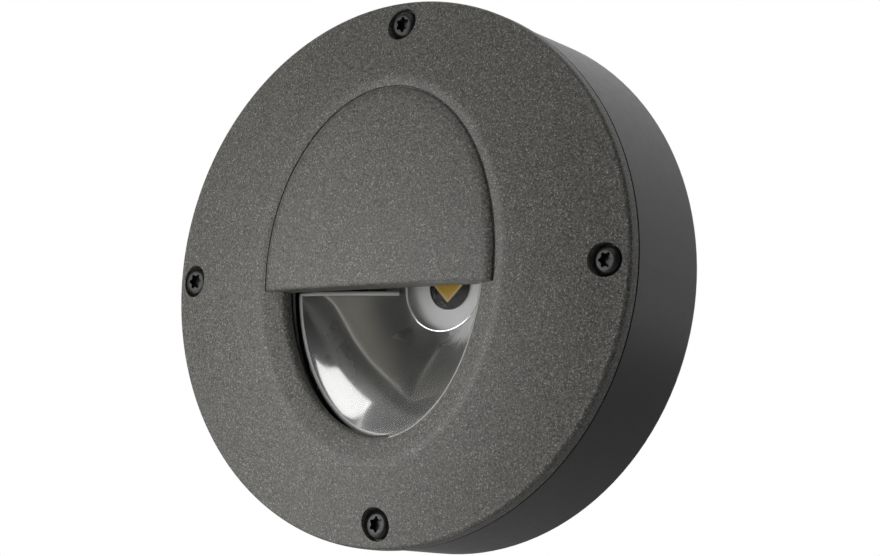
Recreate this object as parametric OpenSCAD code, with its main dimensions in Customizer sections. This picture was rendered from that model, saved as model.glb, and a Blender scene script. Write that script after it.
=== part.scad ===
// Round LED wall spotlight with an eyelid hood.
// The back of the housing lies on the wall plane, centred on the origin, and the light faces -Y with +Z up.
// Pieces are drawn lying on the wall plane as a bench drawing (x right, y up the wall, z out of the wall),
// and stand() turns each one upright.

/* [Housing] */
// Distance by which the housing's side stands back from the cover's edge
housing_set_back = 0.6; // [0.4:0.05:1]
// Draft of the housing: how much its radius shrinks towards the wall
housing_draft = 0.5; // [0.2:0.1:1]
// Depth of the housing, from the wall to the cover gasket
housing_h = 32.05; // [31:0.05:36]
// Thickness of the housing's side wall
housing_wall = 2.8; // [2.4:0.1:3.2]
// Thickness of the housing's back wall
back_wall = 3; // [2.6:0.1:3.4]
// Radius of the rounded edge at the wall
back_round = 1.2; // [0.6:0.1:1.6]
// Distance between the two wall-fixing holes
wall_hole_span = 100; // [96:0.5:104]
// Diameter of the wall-fixing holes
wall_hole_d = 5.2; // [4.8:0.1:5.6]
// Width of the pad round each wall-fixing hole
wall_pad_rim = 2.9; // [2.4:0.1:3.4]
// Height of the pads round the wall-fixing holes
wall_pad_h = 3; // [2:0.5:3.5]
// Number of stiffening ribs between the back wall and the side wall
rib_count = 12; // [8:4:12]
// Length of each rib along the back wall
rib_l = 6; // [5:0.5:6.5]
// Thickness of the ribs
rib_t = 1.8; // [1.6:0.1:2.2]

/* [Front cover] */
// Outer diameter of the front cover
cover_d = 150; // [149:0.1:156]
// Height of the cover's straight side wall
cover_side = 4; // [3.4:0.1:4.6]
// Rise of the domed face at its centre, above the side wall
dome_rise = 10.8; // [9.6:0.1:12]
// Radius of the rounded outer edge
cover_round = 1.1; // [0.8:0.1:1.3]
// Wall thickness of the cover casting
cover_wall = 3.2; // [2.8:0.1:3.6]
// Thickness of the cover's rim, measured inward
cover_rim = 4.4; // [4:0.1:4.8]
// Half width of the light opening
opening_half_w = 32.4; // [31:0.1:33.2]
// Half height of the light opening
opening_half_h = 44.6; // [43:0.1:45.4]
// Width of the dish between the opening and the oval ridge
dish_w = 7.8; // [7.2:0.1:8.2]
// Fall of the dish inside the ridge, per millimetre
dish_slope = 0.38; // [0.3:0.01:0.44]
// Half width of the ridge's rounded crest
crest_half = 1.6; // [1:0.1:2.2]
// Height of the window seat above the top of the cover's side wall
seat_lift = 3; // [2.6:0.05:3.2]

/* [Eyelid hood] */
// Distance by which the hood stands out beyond the opening at each side
hood_side_lap = 5.8; // [5.4:0.1:6.2]
// Distance by which the hood stands out above the opening
hood_top_lap = 6.2; // [5.8:0.1:6.6]
// Depth of the hood's straight lower edge below the centre
hood_drop = 5; // [4:0.1:6]
// Height of the hood's crown above the top of the cover's side wall
hood_rise = 10; // [9.7:0.1:10.6]
// Radius of the hood's domed face
hood_face_r = 320; // [300:5:345]
// Width of the hood's soft bevel, measured inward from its arch
hood_bevel_w = 2.2; // [1.8:0.1:2.6]
// Height of the bevel
hood_bevel_h = 0.9; // [0.8:0.1:1.2]
// Width of the rounding along the hood's straight lower edge
lip_round = 1.1; // [0.9:0.1:1.4]
// Wall thickness of the hood
hood_wall = 2.6; // [2.2:0.1:3]

/* [Cover screws] */
// Distance of the screws' centres inside the cover's edge
screw_inset = 6.7; // [6.4:0.1:7.2]
// Shank diameter of the cover screws
screw_d = 4; // [3.8:0.1:4.2]
// Head diameter of the cover screws
screw_head_d = 7.7; // [7.4:0.1:8]
// Head height of the cover screws
screw_head_h = 2.9; // [2.6:0.1:3.1]
// Length of the cover screws under the head
screw_len = 16; // [14:1:18]
// Gap round the screw heads in their counterbores
head_gap = 0.7; // [0.5:0.05:0.8]
// Depth of the screw heads below the cover's face
head_sink = 0.35; // [0.1:0.05:0.6]

/* [Seals and window] */
// Thickness of the pressed cover gasket
cover_gasket_t = 0.75; // [0.5:0.05:1]
// Width of the cover gasket's band
cover_gasket_w = 3; // [2.6:0.1:3.2]
// Thickness of the window glass
glass_t = 2.6; // [2.4:0.1:3]
// Thickness of the pressed glass gasket
glass_gasket_t = 0.7; // [0.5:0.1:0.9]
// Width of the glass that lies on the seat
glass_lap = 5.6; // [5.2:0.1:6]
// Sheet thickness of the glass retainer
retainer_t = 1.2; // [1:0.1:1.5]
// Width of the glass that lies on the retainer
retainer_lap = 3.6; // [3:0.1:4]

/* [Reflector] */
// Gap between the reflector's rim and the glass
rim_gap = 0.25; // [0.15:0.05:0.6]
// Distance of the reflector's rim inside the light opening
rim_inset = 0.4; // [0.3:0.1:1]
// Wall thickness of the reflector
reflector_wall = 1.2; // [1:0.1:1.5]
// Radius of the reflector's hole for the light source
led_hole_r = 12.9; // [12.5:0.1:13.3]
// Height of the reflector's hole above the board
led_hole_lift = 3.8; // [3.6:0.1:4.6]
// Angle of the reflector's upper lips below the horizontal
lip_angle = 9; // [7:0.5:11]
// How the bowl widens from the hole to the rim: a plain cone at 1, flaring towards the rim below 1
bowl_power = 0.8; // [0.75:0.05:0.9]
// Width of the collar round the hole
collar_w = 2.2; // [1.8:0.1:2.6]

/* [Light source] */
// Thickness of the heat spreader
spreader_t = 4.2; // [3.8:0.1:4.6]
// Width of the spreader's margin round the circuit board
spreader_margin = 8; // [7.4:0.1:8.4]
// Thickness of the thermal pad
pad_t = 0.4; // [0.3:0.1:0.6]
// Thickness of the circuit board
board_t = 1.6; // [1.4:0.1:1.8]
// Diameter of the light source's round base
led_base_d = 13.1; // [12.8:0.1:13.4]
// Side of the square emitter
chip_side = 6.6; // [6.2:0.1:6.8]
// Width of the base that shows round the clear cap
cap_margin = 0.45; // [0.3:0.05:0.7]
// Height of the clear cap
cap_h = 2; // [1.8:0.1:2.4]

/* [Driver and terminals] */
// Length of the driver case
driver_l = 60; // [54:1:64]
// Width of the driver case
driver_w = 23; // [21:0.5:25]
// Height of the driver case
driver_h = 21; // [19:0.5:23]
// Wall thickness of the driver case
driver_wall = 1.5; // [1.3:0.1:1.8]
// Number of poles in the terminal block
pole_count = 3; // [3:1:3]
// Distance between the poles
pole_pitch = 9; // [8.5:0.5:10]
// Diameter of the inner leads
lead_d = 2.2; // [1.8:0.1:2.4]
// Diameter of the cable entry through the grommet
cable_d = 7; // [6.4:0.1:7.4]

/* [Hidden] */
$fn = 96;

// Small distance by which a cutter passes the face that it cuts
bite = 1;
// Clearance between a screw and its hole, on the radius
thread_gap = 0.05;
// Clearance of a through hole over its screw, on the diameter
through_gap = 0.5;
// Length by which a screw ends short of its blind hole
tip_gap = 0.2;

// Heights above the wall plane
cover_z = housing_h + cover_gasket_t;
edge_z = cover_z + cover_side;
seat_z = edge_z + seat_lift;
glass_front_z = seat_z - glass_gasket_t;
glass_back_z = glass_front_z - glass_t;
rim_z = glass_back_z - rim_gap;
spreader_z = back_wall;
pad_z = spreader_z + spreader_t;
board_z = pad_z + pad_t;
board_top_z = board_z + board_t;
led_hole_z = board_top_z + led_hole_lift;

// The domed face: a sphere that meets the top of the side wall at the rim
cover_r = cover_d / 2;
dome_r = (cover_r * cover_r + dome_rise * dome_rise) / (2 * dome_rise);
function dome(r) = sqrt(dome_r * dome_r - r * r) - dome_r + dome_rise;

// The smooth start of the dish: flat outside the crest, a straight fall inside it
function ease(u, w) = u <= -w ? 0 : u >= w ? u : (u + w) * (u + w) / (4 * w);
function face_z(x, y, inward) = edge_z + dome(norm([x, y])) - dish_slope * ease(inward, crest_half);

// The ridge and the hood stand round the opening
ridge_half_w = opening_half_w + dish_w;
ridge_half_h = opening_half_h + dish_w;
hood_half_w = opening_half_w + hood_side_lap;
hood_top = opening_half_h + hood_top_lap;

// Housing radii, and the circle inside the ribs
housing_r = cover_r - housing_set_back;
housing_back_r = housing_r - housing_draft;
housing_in_r = housing_r - housing_wall;
housing_in_back_r = housing_back_r - housing_wall;
rib_in_r = housing_in_back_r - rib_l;
wall_pad_r = wall_hole_d / 2 + wall_pad_rim;

// Cover screws and their bosses
screw_r = screw_d / 2;
screw_head_r = screw_head_d / 2;
counterbore_r = screw_head_r + head_gap;
screw_ring_r = cover_r - screw_inset;
screw_boss_wall = 2.8;
screw_boss_r = screw_r + screw_boss_wall;
socket_to_head = 0.57;
screw_socket = socket_to_head * screw_head_d;
screw_angles = [0, 90, 180, 270];
head_top_z = edge_z + dome(screw_ring_r) - head_sink;
head_seat_z = head_top_z - screw_head_h;
cover_boss_wall = 1;
cover_boss_r = counterbore_r + cover_boss_wall;
boss_bury = 0.15;

// Window pocket in the back of the cover
pocket_clear = 0.4;
glass_half_w = opening_half_w + glass_lap;
glass_half_h = opening_half_h + glass_lap;
pocket_half_w = glass_half_w + pocket_clear;
pocket_half_h = glass_half_h + pocket_clear;
pocket_wall = 2.8;

// Retainer ears lie on an oval outside the pocket, at 45 degrees of its parameter
ear_out = 5.2;
ear_r = 3.6;
ear_angles = [45, 135, 225, 315];
function ear_at(t) = [(pocket_half_w + ear_out) * cos(t), (pocket_half_h + ear_out) * sin(t)];
small_screw_r = 1.5;
small_head_r = 2.7;
small_head_h = 2.1;
small_socket = 2.4;
retainer_screw_len = 4;

// Reflector
rim_half_w = opening_half_w - rim_inset;
rim_half_h = opening_half_h - rim_inset;
collar_t = 1.2;
reflector_ear_r = 4;
reflector_ear_t = 2;
reflector_ear_lift = 6;
reflector_ear_z = led_hole_z + reflector_ear_lift;
reflector_ear_angle = 33;
reflector_screw_len = 8;
reflector_tip_z = reflector_ear_z + reflector_ear_t - reflector_screw_len;

// The lower half of the back wall, from the 6 o'clock boss in towards the centre:
// room for the leads, the terminal block, the cable grommet, then the heat spreader and the board on it
terminal_depth = 11;
lead_room = 4;
terminal_y = screw_ring_r - screw_boss_r - lead_room - terminal_depth / 2;
cable_r = cable_d / 2;
grommet_neck_r = cable_r + 2.5;
grommet_flange_r = grommet_neck_r + 1.6;
grommet_flange_t = 2;
grommet_tip_h = 4;
grommet_tip_wall = 1.2;
grommet_recess = 0.3;
grommet_gap = 1.9;
cable_y = terminal_y - terminal_depth / 2 - grommet_gap - grommet_flange_r;
spreader_gap = 1.4;
spreader_r = cable_y - grommet_flange_r - spreader_gap;
board_r = spreader_r - spreader_margin;

// The reflector's posts stand outside the heat spreader
ear_gap = 8;
reflector_ear_ring = spreader_r + ear_gap + reflector_ear_r;
reflector_ear_x = reflector_ear_ring * cos(reflector_ear_angle);
reflector_ear_y = -reflector_ear_ring * sin(reflector_ear_angle);

// Light source
led_base_t = 0.8;
led_base_z = board_top_z;
chip_t = 0.4;
chip_z = led_base_z + led_base_t;
cap_d = led_base_d - 2 * cap_margin;
board_screw_margin = 0.9;
board_screw_ring = board_r - small_head_r - board_screw_margin;
board_screw_angles = [45, 225];
board_screw_len = 4;
spreader_screw_ring = spreader_r - spreader_margin / 2;
spreader_screw_angles = [38, 142];
spreader_screw_len = spreader_t + 2;
boss_depth = 2.2;

// Driver: its upper corners keep clear of the housing's side wall
driver_clear = 3.1;
driver_z = back_wall;
driver_ear_l = 8;
driver_ear_t = 2;
driver_ear_x = driver_l / 2 + driver_ear_l / 2;
driver_lid_t = 1.5;
driver_top_z = driver_z + driver_h;
driver_corner_r = housing_in_back_r - driver_clear;
driver_y = sqrt(driver_corner_r * driver_corner_r - driver_l * driver_l / 4) - driver_w / 2;
driver_low_y = driver_y - driver_w / 2;

// Terminal block
terminal_w = pole_count * pole_pitch;
terminal_h = 13;
terminal_ear_r = 4;
terminal_ear_t = 2;
terminal_ear_x = terminal_w / 2 + terminal_ear_r;
terminal_low_y = -terminal_y - terminal_depth / 2;
lead_r = lead_d / 2;
clamp_l = 8;
clamp_wall = 1.2;
clamp_side = lead_d + 2 * clamp_wall;
clamp_screw_r = 1.7;
clamp_lift = 1.9;
clamp_z = back_wall + clamp_side / 2 + clamp_lift;

// The leads run on a circle inside the ribs
lead_gap = 2;
lead_ring_r = rib_in_r - lead_gap - lead_r;
live_lift = 5;
pair_gap = 1.8;
entry_gap = 0.8;
live_z = back_wall + live_lift;
neutral_z = live_z + lead_d + pair_gap;
driver_entry_y = driver_y - driver_ear_l / 2 - lead_r - entry_gap;

// Earth point: the mouth of its crimp lies on the leads' circle
earth_angle = -52;
earth_boss_r = 4.2;
earth_boss_h = 4;
earth_tag_t = 0.8;
crimp_l = 7;
crimp_r = lead_r + earth_tag_t;
neck_l = 1.5;
crimp_start = earth_boss_r + neck_l;
earth_x = lead_ring_r * cos(earth_angle);
earth_y = lead_ring_r * sin(earth_angle) + crimp_l + crimp_start;
earth_screw_len = 5;
earth_top_z = back_wall + earth_boss_h;

// Turns a piece from the bench drawing to its place on the wall
module stand() {
    rotate([90, 0, 0]) children();
}

// A flat oval block with true curved walls
module oval(half_w, half_h, height) {
    scale([1, half_h / half_w, 1]) cylinder(r = half_w, h = height);
}

// Points round an oval
oval_steps = 72;
function oval_points(half_w, half_h) = [
    for (i = [0:oval_steps - 1])
        let (t = 360 * i / oval_steps)
        [half_w * cos(t), half_h * sin(t)]
];

// The same oval as a prism with flat sides
module cut_oval(half_w, half_h, height) {
    linear_extrude(height) polygon(oval_points(half_w, half_h));
}

// Triangles between neighbouring rings of n points, closed into a loop when loop is true
function band_faces(n, m, loop) = [
    for (i = [0:(loop ? m - 1 : m - 2)])
        for (j = [0:n - 1])
            let (
                a = i * n + j,
                b = i * n + (j + 1) % n,
                c = ((i + 1) % m) * n + (j + 1) % n,
                d = ((i + 1) % m) * n + j
            )
            each [[a, c, b], [a, d, c]]
];

// Faces that close a ring of n points: one flat polygon, a strip across a folded section, or a fan to a hub point
function flat_cap(first, n) = [[for (j = [0:n - 1]) first + j]];
function strip_cap(first, n) = [
    for (j = [0:n / 2 - 2])
        each [
            [first + j, first + j + 1, first + n - 2 - j],
            [first + j, first + n - 2 - j, first + n - 1 - j]
        ]
];
function fan_cap(first, n, hub) = [for (j = [0:n - 1]) [first + j, first + (j + 1) % n, hub]];
function flipped(faces) = [for (f = faces) [for (j = [len(f) - 1:-1:0]) f[j]]];

// A solid through a list of rings: a closed loop of rings, or one with a cap at each end.
// hubs holds the two points that the end caps fan out from.
module loft(rings, loop = false, strip = false, hubs = []) {
    n = len(rings[0]);
    m = len(rings);
    last = (m - 1) * n;
    fan = len(hubs) > 0;
    caps = loop ? [] : concat(
        fan ? fan_cap(0, n, m * n) : strip ? strip_cap(0, n) : flat_cap(0, n),
        flipped(fan ? fan_cap(last, n, m * n + 1) : strip ? strip_cap(last, n) : flat_cap(last, n))
    );
    polyhedron(
        points = concat([for (ring = rings) each ring], hubs),
        faces = concat(band_faces(n, m, loop), caps),
        convexity = 8
    );
}

// A round tube along a list of points, each ring square to the route
tube_sides = 8;
function unit(v) = v / norm(v);
function route_way(p, i) = unit(p[min(i + 1, len(p) - 1)] - p[max(i - 1, 0)]);
function side_way(w) = unit(cross(w, abs(w[2]) > 0.9 ? [1, 0, 0] : [0, 0, 1]));
module tube(points, radius) {
    rings = [
        for (i = [0:len(points) - 1])
            let (w = route_way(points, i), s = side_way(w), q = cross(w, s))
            [
                for (k = [0:tube_sides - 1])
                    let (t = 360 * k / tube_sides)
                    points[i] + radius * (cos(t) * s + sin(t) * q)
            ]
    ];
    loft(rings);
}

// A smooth route through hand-chosen points, with the same number of steps in each stretch
function curve_at(a, b, c, d, t) =
    0.5 * ((2 * b) + (c - a) * t + (2 * a - 5 * b + 4 * c - d) * t * t + (3 * b - a - 3 * c + d) * t * t * t);
lead_steps = 3;
function smooth_route(p) = [
    for (i = [0:len(p) - 2])
        for (k = [0:lead_steps - 1])
            curve_at(p[max(i - 1, 0)], p[i], p[i + 1], p[min(i + 2, len(p) - 1)], k / lead_steps),
    p[len(p) - 1]
];

// A six-lobed driving recess: a core circle with a small lobe at each of six points
socket_lobes = 6;
socket_core = 0.38;
lobe_ring = 0.385;
lobe_size = 0.115;
module lobed_socket(size, depth) {
    linear_extrude(depth) {
        circle(r = size * socket_core, $fn = 48);
        for (k = [0:socket_lobes - 1])
            rotate(360 * k / socket_lobes) translate([size * lobe_ring, 0]) circle(r = size * lobe_size, $fn = 24);
    }
}

// A pan-head screw pointing down, with its head's seat at z = 0.
// The shares say how much of the head is flat on top, how high its straight side is and how deep its socket goes.
pan_flat = 0.62;
pan_side = 0.45;
socket_share = 0.45;
module pan_screw(shank_r, head_r, head_h, length, socket) {
    side = head_h * pan_side;
    difference() {
        union() {
            translate([0, 0, -length]) cylinder(r = shank_r, h = length + bite / 2);
            rotate_extrude()
                polygon(concat(
                    [[0, 0], [head_r, 0], [head_r, side]],
                    [
                        for (t = [15:15:75])
                            [head_r * (pan_flat + (1 - pan_flat) * cos(t)), side + (head_h - side) * sin(t)]
                    ],
                    [[head_r * pan_flat, head_h], [0, head_h]]
                ));
        }
        translate([0, 0, head_h - socket * socket_share]) lobed_socket(socket, socket);
    }
}

module small_screw(length) {
    pan_screw(small_screw_r, small_head_r, small_head_h, length, small_socket);
}

// Rings of the cover, in order: up the outer wall, over the face, down the opening, and back along the inside.
// Shares of the rounding place the rings in between; the pocket's wall meets the inside at a small fillet.
round_share = 0.3;
opening_share = 0.4;
pocket_fillet = 0.3;
function flat_ring(half_w, half_h, z) = [for (p = oval_points(half_w, half_h)) [p[0], p[1], z]];
function face_ring(inward, share = 0, sink = 0) = [
    for (p = oval_points(
        (ridge_half_w - inward) * (1 - share) + (cover_r - cover_round) * share,
        (ridge_half_h - inward) * (1 - share) + (cover_r - cover_round) * share))
        [p[0], p[1], face_z(p[0], p[1], share > 0 ? -crest_half : inward) - sink]
];
function inner_ring(half_w, half_h) = [
    for (p = oval_points(half_w, half_h)) [p[0], p[1], edge_z + dome(norm(p)) - cover_wall]
];
opening_round = 0.5;
shell_in_r = cover_r - cover_rim;
shell_step = 2;
cover_rings = concat(
    [
        flat_ring(cover_r, cover_r, cover_z),
        flat_ring(cover_r, cover_r, edge_z - cover_round),
        flat_ring(
            cover_r - round_share * cover_round, cover_r - round_share * cover_round,
            edge_z - round_share * cover_round
        )
    ],
    [for (s = [1:-0.2:0.1]) face_ring(-crest_half, s)],
    [for (u = [-1:0.5:1]) face_ring(u * crest_half)],
    [
        face_ring(dish_w - 2 * opening_round),
        face_ring(dish_w - opening_share * opening_round, 0, round_share * opening_round),
        face_ring(dish_w, 0, opening_round),
        flat_ring(opening_half_w, opening_half_h, seat_z),
        flat_ring(pocket_half_w, pocket_half_h, seat_z),
        flat_ring(pocket_half_w, pocket_half_h, glass_back_z),
        flat_ring(pocket_half_w + pocket_wall, pocket_half_h + pocket_wall, glass_back_z),
        inner_ring(pocket_half_w + pocket_wall + pocket_fillet, pocket_half_h + pocket_wall + pocket_fillet),
        inner_ring(
            (pocket_half_w + pocket_wall + shell_in_r - shell_step) / 2,
            (pocket_half_h + pocket_wall + shell_in_r - shell_step) / 2
        ),
        inner_ring(shell_in_r - shell_step, shell_in_r - shell_step),
        flat_ring(shell_in_r, shell_in_r, cover_z)
    ]
);

// Outline of the hood or of its hollow: a half oval over a straight lower edge
hood_arch_steps = 40;
hood_edge_steps = 12;
function hood_outline(half_w, top, drop) =
    let (low = -asin(drop / top))
    concat(
        [
            for (i = [0:hood_arch_steps])
                let (t = low + (180 - 2 * low) * i / hood_arch_steps)
                [half_w * cos(t), top * sin(t)]
        ],
        [
            for (i = [1:hood_edge_steps - 1])
                [half_w * cos(low) * (2 * i / hood_edge_steps - 1), -drop]
        ]
    );
function hood_face(p) = edge_z + hood_rise - (p[0] * p[0] + p[1] * p[1]) / (2 * hood_face_r);

// A block that stands on foot_z under the domed face, sunk by a depth below it.
// Its top edge is rounded over bevel_w and bevel_h along the arch and over lip_w along the lower edge.
module hood_solid(half_w, top, drop, foot_z, sink, bevel_w = 0, bevel_h = 0, lip_w = 0) {
    round_steps = bevel_w > 0 ? 4 : 0;
    inner_steps = 7;
    centre = [0, top / 2];
    flat = hood_outline(half_w - bevel_w, top - bevel_w, drop - lip_w);
    loft(concat(
        [[for (p = hood_outline(half_w, top, drop)) [p[0], p[1], foot_z]]],
        [
            for (k = [0:round_steps])
                let (t = 90 * k / max(round_steps, 1), draw = 1 - cos(t))
                [
                    for (p = hood_outline(half_w - bevel_w * draw, top - bevel_w * draw, drop - lip_w * draw))
                        [p[0], p[1], hood_face(p) - sink - bevel_h * (1 - sin(t))]
                ]
        ],
        [
            for (k = [1:inner_steps - 1])
                [
                    for (p = flat)
                        let (q = p + (centre - p) * k / inner_steps)
                        [q[0], q[1], hood_face(q) - sink]
                ]
        ]
    ), hubs = [[centre[0], centre[1], foot_z], [centre[0], centre[1], hood_face(centre) - sink]]);
}

// Height of the hood block's foot above the window seat, inside the casting
hood_foot_lift = 0.4;
module hood_block() {
    hood_solid(hood_half_w, hood_top, hood_drop, seat_z + hood_foot_lift, 0, hood_bevel_w, hood_bevel_h, lip_round);
}

// The hollow behind the hood: just beyond the opening's oval, a wall's thickness inside the face and lower edge
hollow_clear = 0.2;
module hood_hollow() {
    hood_solid(
        opening_half_w + hollow_clear, opening_half_h + hollow_clear, hood_drop - hood_wall, seat_z - bite, hood_wall
    );
}

module front_cover() {
    color("#4c4c4a") stand()
        difference() {
            union() {
                loft(cover_rings, true);
                hood_block();
                for (t = screw_angles)
                    rotate(t) translate([screw_ring_r, 0, cover_z])
                        cylinder(r = cover_boss_r, h = edge_z - cover_z + boss_bury);
                for (t = ear_angles)
                    translate([ear_at(t)[0], ear_at(t)[1], glass_back_z])
                        cylinder(r = ear_r, h = edge_z + cover_wall - glass_back_z);
            }
            hood_hollow();
            for (t = screw_angles)
                rotate(t) translate([screw_ring_r, 0, 0]) {
                    translate([0, 0, head_seat_z]) cylinder(r = counterbore_r, h = 2 * screw_head_h);
                    cylinder(r = screw_r + through_gap / 2, h = edge_z);
                }
            for (t = ear_angles)
                translate([ear_at(t)[0], ear_at(t)[1], glass_back_z - bite])
                    cylinder(r = small_screw_r + thread_gap, h = bite + retainer_screw_len);
        }
}

module cover_screws() {
    color("#1c1c1d") stand()
        for (t = screw_angles)
            rotate(t) translate([screw_ring_r, 0, head_seat_z])
                pan_screw(screw_r, screw_head_r, screw_head_h, screw_len, screw_socket);
}

// A flat band that follows the housing's rim and widens round each screw boss
gasket_inset = 0.3;
gasket_r = housing_r - gasket_inset;
module cover_gasket() {
    color("#141414") stand() translate([0, 0, housing_h])
        linear_extrude(cover_gasket_t)
            difference() {
                union() {
                    difference() {
                        circle(r = gasket_r);
                        circle(r = gasket_r - cover_gasket_w);
                    }
                    for (t = screw_angles)
                        intersection() {
                            rotate(t) translate([screw_ring_r, 0]) circle(r = screw_boss_r);
                            circle(r = gasket_r);
                        }
                }
                for (t = screw_angles)
                    rotate(t) translate([screw_ring_r, 0]) circle(r = screw_r + through_gap / 2);
            }
}

// The drum's shell in section: back wall, rounded back edge and a side wall with draft
module housing_shell() {
    corner_bevel = 1.5;
    rotate_extrude()
        polygon(concat(
            [[0, 0]],
            [
                for (t = [-90:22.5:0])
                    [housing_back_r - back_round + back_round * cos(t), back_round + back_round * sin(t)]
            ],
            [
                [housing_r, housing_h],
                [housing_in_r, housing_h],
                [housing_in_back_r, back_wall + corner_bevel],
                [housing_in_back_r - corner_bevel, back_wall],
                [0, back_wall]
            ]
        ));
}

module housing_ribs() {
    bury = 1;
    rib_h = housing_h / 2;
    step = 360 / rib_count;
    for (k = [0:rib_count - 1])
        rotate(step * (k + 0.5))
            translate([rib_in_r, rib_t / 2, back_wall - bury / 2])
                rotate([90, 0, 0])
                    linear_extrude(rib_t)
                        polygon([[0, 0], [rib_l + bury, 0], [rib_l + bury, rib_h], [rib_l - bury / 2, rib_h]]);
}

module housing() {
    color("#3d3f42") stand()
        difference() {
            union() {
                housing_shell();
                housing_ribs();
                for (t = screw_angles)
                    intersection() {
                        rotate(t) translate([screw_ring_r, 0, back_wall - bite / 2])
                            cylinder(r = screw_boss_r, h = housing_h - back_wall + bite / 2);
                        cylinder(r = housing_r - housing_wall / 2, h = housing_h);
                    }
                for (s = [-1, 1]) {
                    translate([s * wall_hole_span / 2, 0, back_wall - bite / 2])
                        cylinder(r = wall_pad_r, h = wall_pad_h + bite / 2);
                    translate([s * reflector_ear_x, reflector_ear_y, back_wall - bite / 2])
                        cylinder(r = reflector_ear_r, h = reflector_ear_z - back_wall + bite / 2);
                }
                translate([earth_x, earth_y, back_wall - bite / 2])
                    cylinder(r = earth_boss_r, h = earth_boss_h + bite / 2);
            }
            for (t = screw_angles)
                rotate(t) translate([screw_ring_r, 0, head_seat_z - screw_len - bite])
                    cylinder(r = screw_r + thread_gap, h = housing_h);
            for (s = [-1, 1]) {
                translate([s * wall_hole_span / 2, 0, -bite])
                    cylinder(d = wall_hole_d, h = back_wall + wall_pad_h + 2 * bite);
                translate([s * reflector_ear_x, reflector_ear_y, reflector_tip_z - bite])
                    cylinder(r = small_screw_r + thread_gap, h = reflector_screw_len + 2 * bite);
                translate([s * driver_ear_x, driver_y, back_wall - boss_depth])
                    cylinder(r = small_screw_r + thread_gap, h = boss_depth + bite);
                translate([s * terminal_ear_x, -terminal_y, back_wall - boss_depth])
                    cylinder(r = small_screw_r + thread_gap, h = boss_depth + bite);
            }
            for (t = spreader_screw_angles)
                rotate(t) translate([spreader_screw_ring, 0, back_wall - boss_depth])
                    cylinder(r = small_screw_r + thread_gap, h = boss_depth + bite);
            translate([earth_x, earth_y, earth_top_z - earth_screw_len])
                cylinder(r = small_screw_r + thread_gap, h = earth_screw_len + bite);
            translate([0, -cable_y, -bite]) cylinder(r = grommet_neck_r, h = back_wall + 2 * bite);
        }
}

module window_glass() {
    color("#dfe8ea", 0.3) stand()
        translate([0, 0, glass_back_z]) oval(glass_half_w, glass_half_h, glass_t);
}

module glass_gasket() {
    inset = 0.3;
    color("#0f0f10") stand() translate([0, 0, glass_front_z])
        difference() {
            oval(glass_half_w, glass_half_h, glass_gasket_t);
            translate([0, 0, -bite])
                oval(opening_half_w + inset, opening_half_h + inset, glass_gasket_t + 2 * bite);
        }
}

module glass_retainer() {
    color("#8d9093") stand() translate([0, 0, glass_back_z - retainer_t])
        difference() {
            union() {
                cut_oval(pocket_half_w + pocket_wall, pocket_half_h + pocket_wall, retainer_t);
                for (t = ear_angles)
                    translate([ear_at(t)[0], ear_at(t)[1], 0]) cylinder(r = ear_r, h = retainer_t);
            }
            translate([0, 0, -bite])
                cut_oval(glass_half_w - retainer_lap, glass_half_h - retainer_lap, retainer_t + 2 * bite);
            for (t = ear_angles)
                translate([ear_at(t)[0], ear_at(t)[1], -bite])
                    cylinder(r = small_screw_r + through_gap / 2, h = retainer_t + 2 * bite);
        }
}

module retainer_screws() {
    color("#9a9da0") stand()
        for (t = ear_angles)
            translate([ear_at(t)[0], ear_at(t)[1], glass_back_z - retainer_t])
                mirror([0, 0, 1]) small_screw(retainer_t + retainer_screw_len - tip_gap);
}

// The bowl: each step is an oval whose half axes grow from the round hole to the oval rim
bowl_steps = 12;
bowl_turns = 32;
bowl_start_out = 0.5;
bowl_start_sink = 0.4;
bowl_lean = 0.75;
bowl_start_r = led_hole_r + bowl_start_out;
bowl_start_z = led_hole_z - bowl_start_sink;
function bowl_growth(s) = 1 - pow(1 - s, bowl_power);
function bowl_half_w(s) = bowl_start_r + (rim_half_w - bowl_start_r) * bowl_growth(s);
function bowl_half_h(s) = bowl_start_r + (rim_half_h - bowl_start_r) * bowl_growth(s);
function bowl_z(s) = bowl_start_z + (rim_z - bowl_start_z) * s;
function oval_reach(half_w, half_h, t) =
    half_w * half_h / norm([half_h * cos(t), half_w * sin(t)]);
function bowl_point(s, t, out) =
    let (r = oval_reach(bowl_half_w(s), bowl_half_h(s), t) + out)
    [r * cos(t), r * sin(t), bowl_z(s) - bowl_lean * out];
function bowl_section(t, inner_out, outer_out) = concat(
    [for (i = [0:bowl_steps]) bowl_point(i / bowl_steps, t, inner_out)],
    [for (i = [bowl_steps:-1:0]) bowl_point(i / bowl_steps, t, outer_out)]
);
module bowl_shell() {
    loft([
        for (j = [0:bowl_turns])
            bowl_section(180 + lip_angle + (180 - 2 * lip_angle) * j / bowl_turns, 0, reflector_wall)
    ], strip = true);
}

// What the bowl holds free of the ears: its hollow, as a solid that reaches just past the rim
hollow_bury = 0.2;
module bowl_hollow() {
    sections = [
        for (i = [0:bowl_steps + 1])
            let (s = min(i / bowl_steps, 1), z = i > bowl_steps ? rim_z + bite : bowl_z(s))
            concat(
                [
                    for (j = [0:bowl_turns])
                        let (
                            t = 180 + lip_angle + (180 - 2 * lip_angle) * j / bowl_turns,
                            r = oval_reach(bowl_half_w(s), bowl_half_h(s), t) + hollow_bury
                        )
                        [r * cos(t), r * sin(t), z]
                ],
                [[0, led_hole_r / 4, z]]
            )
    ];
    loft(sections);
}

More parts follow.
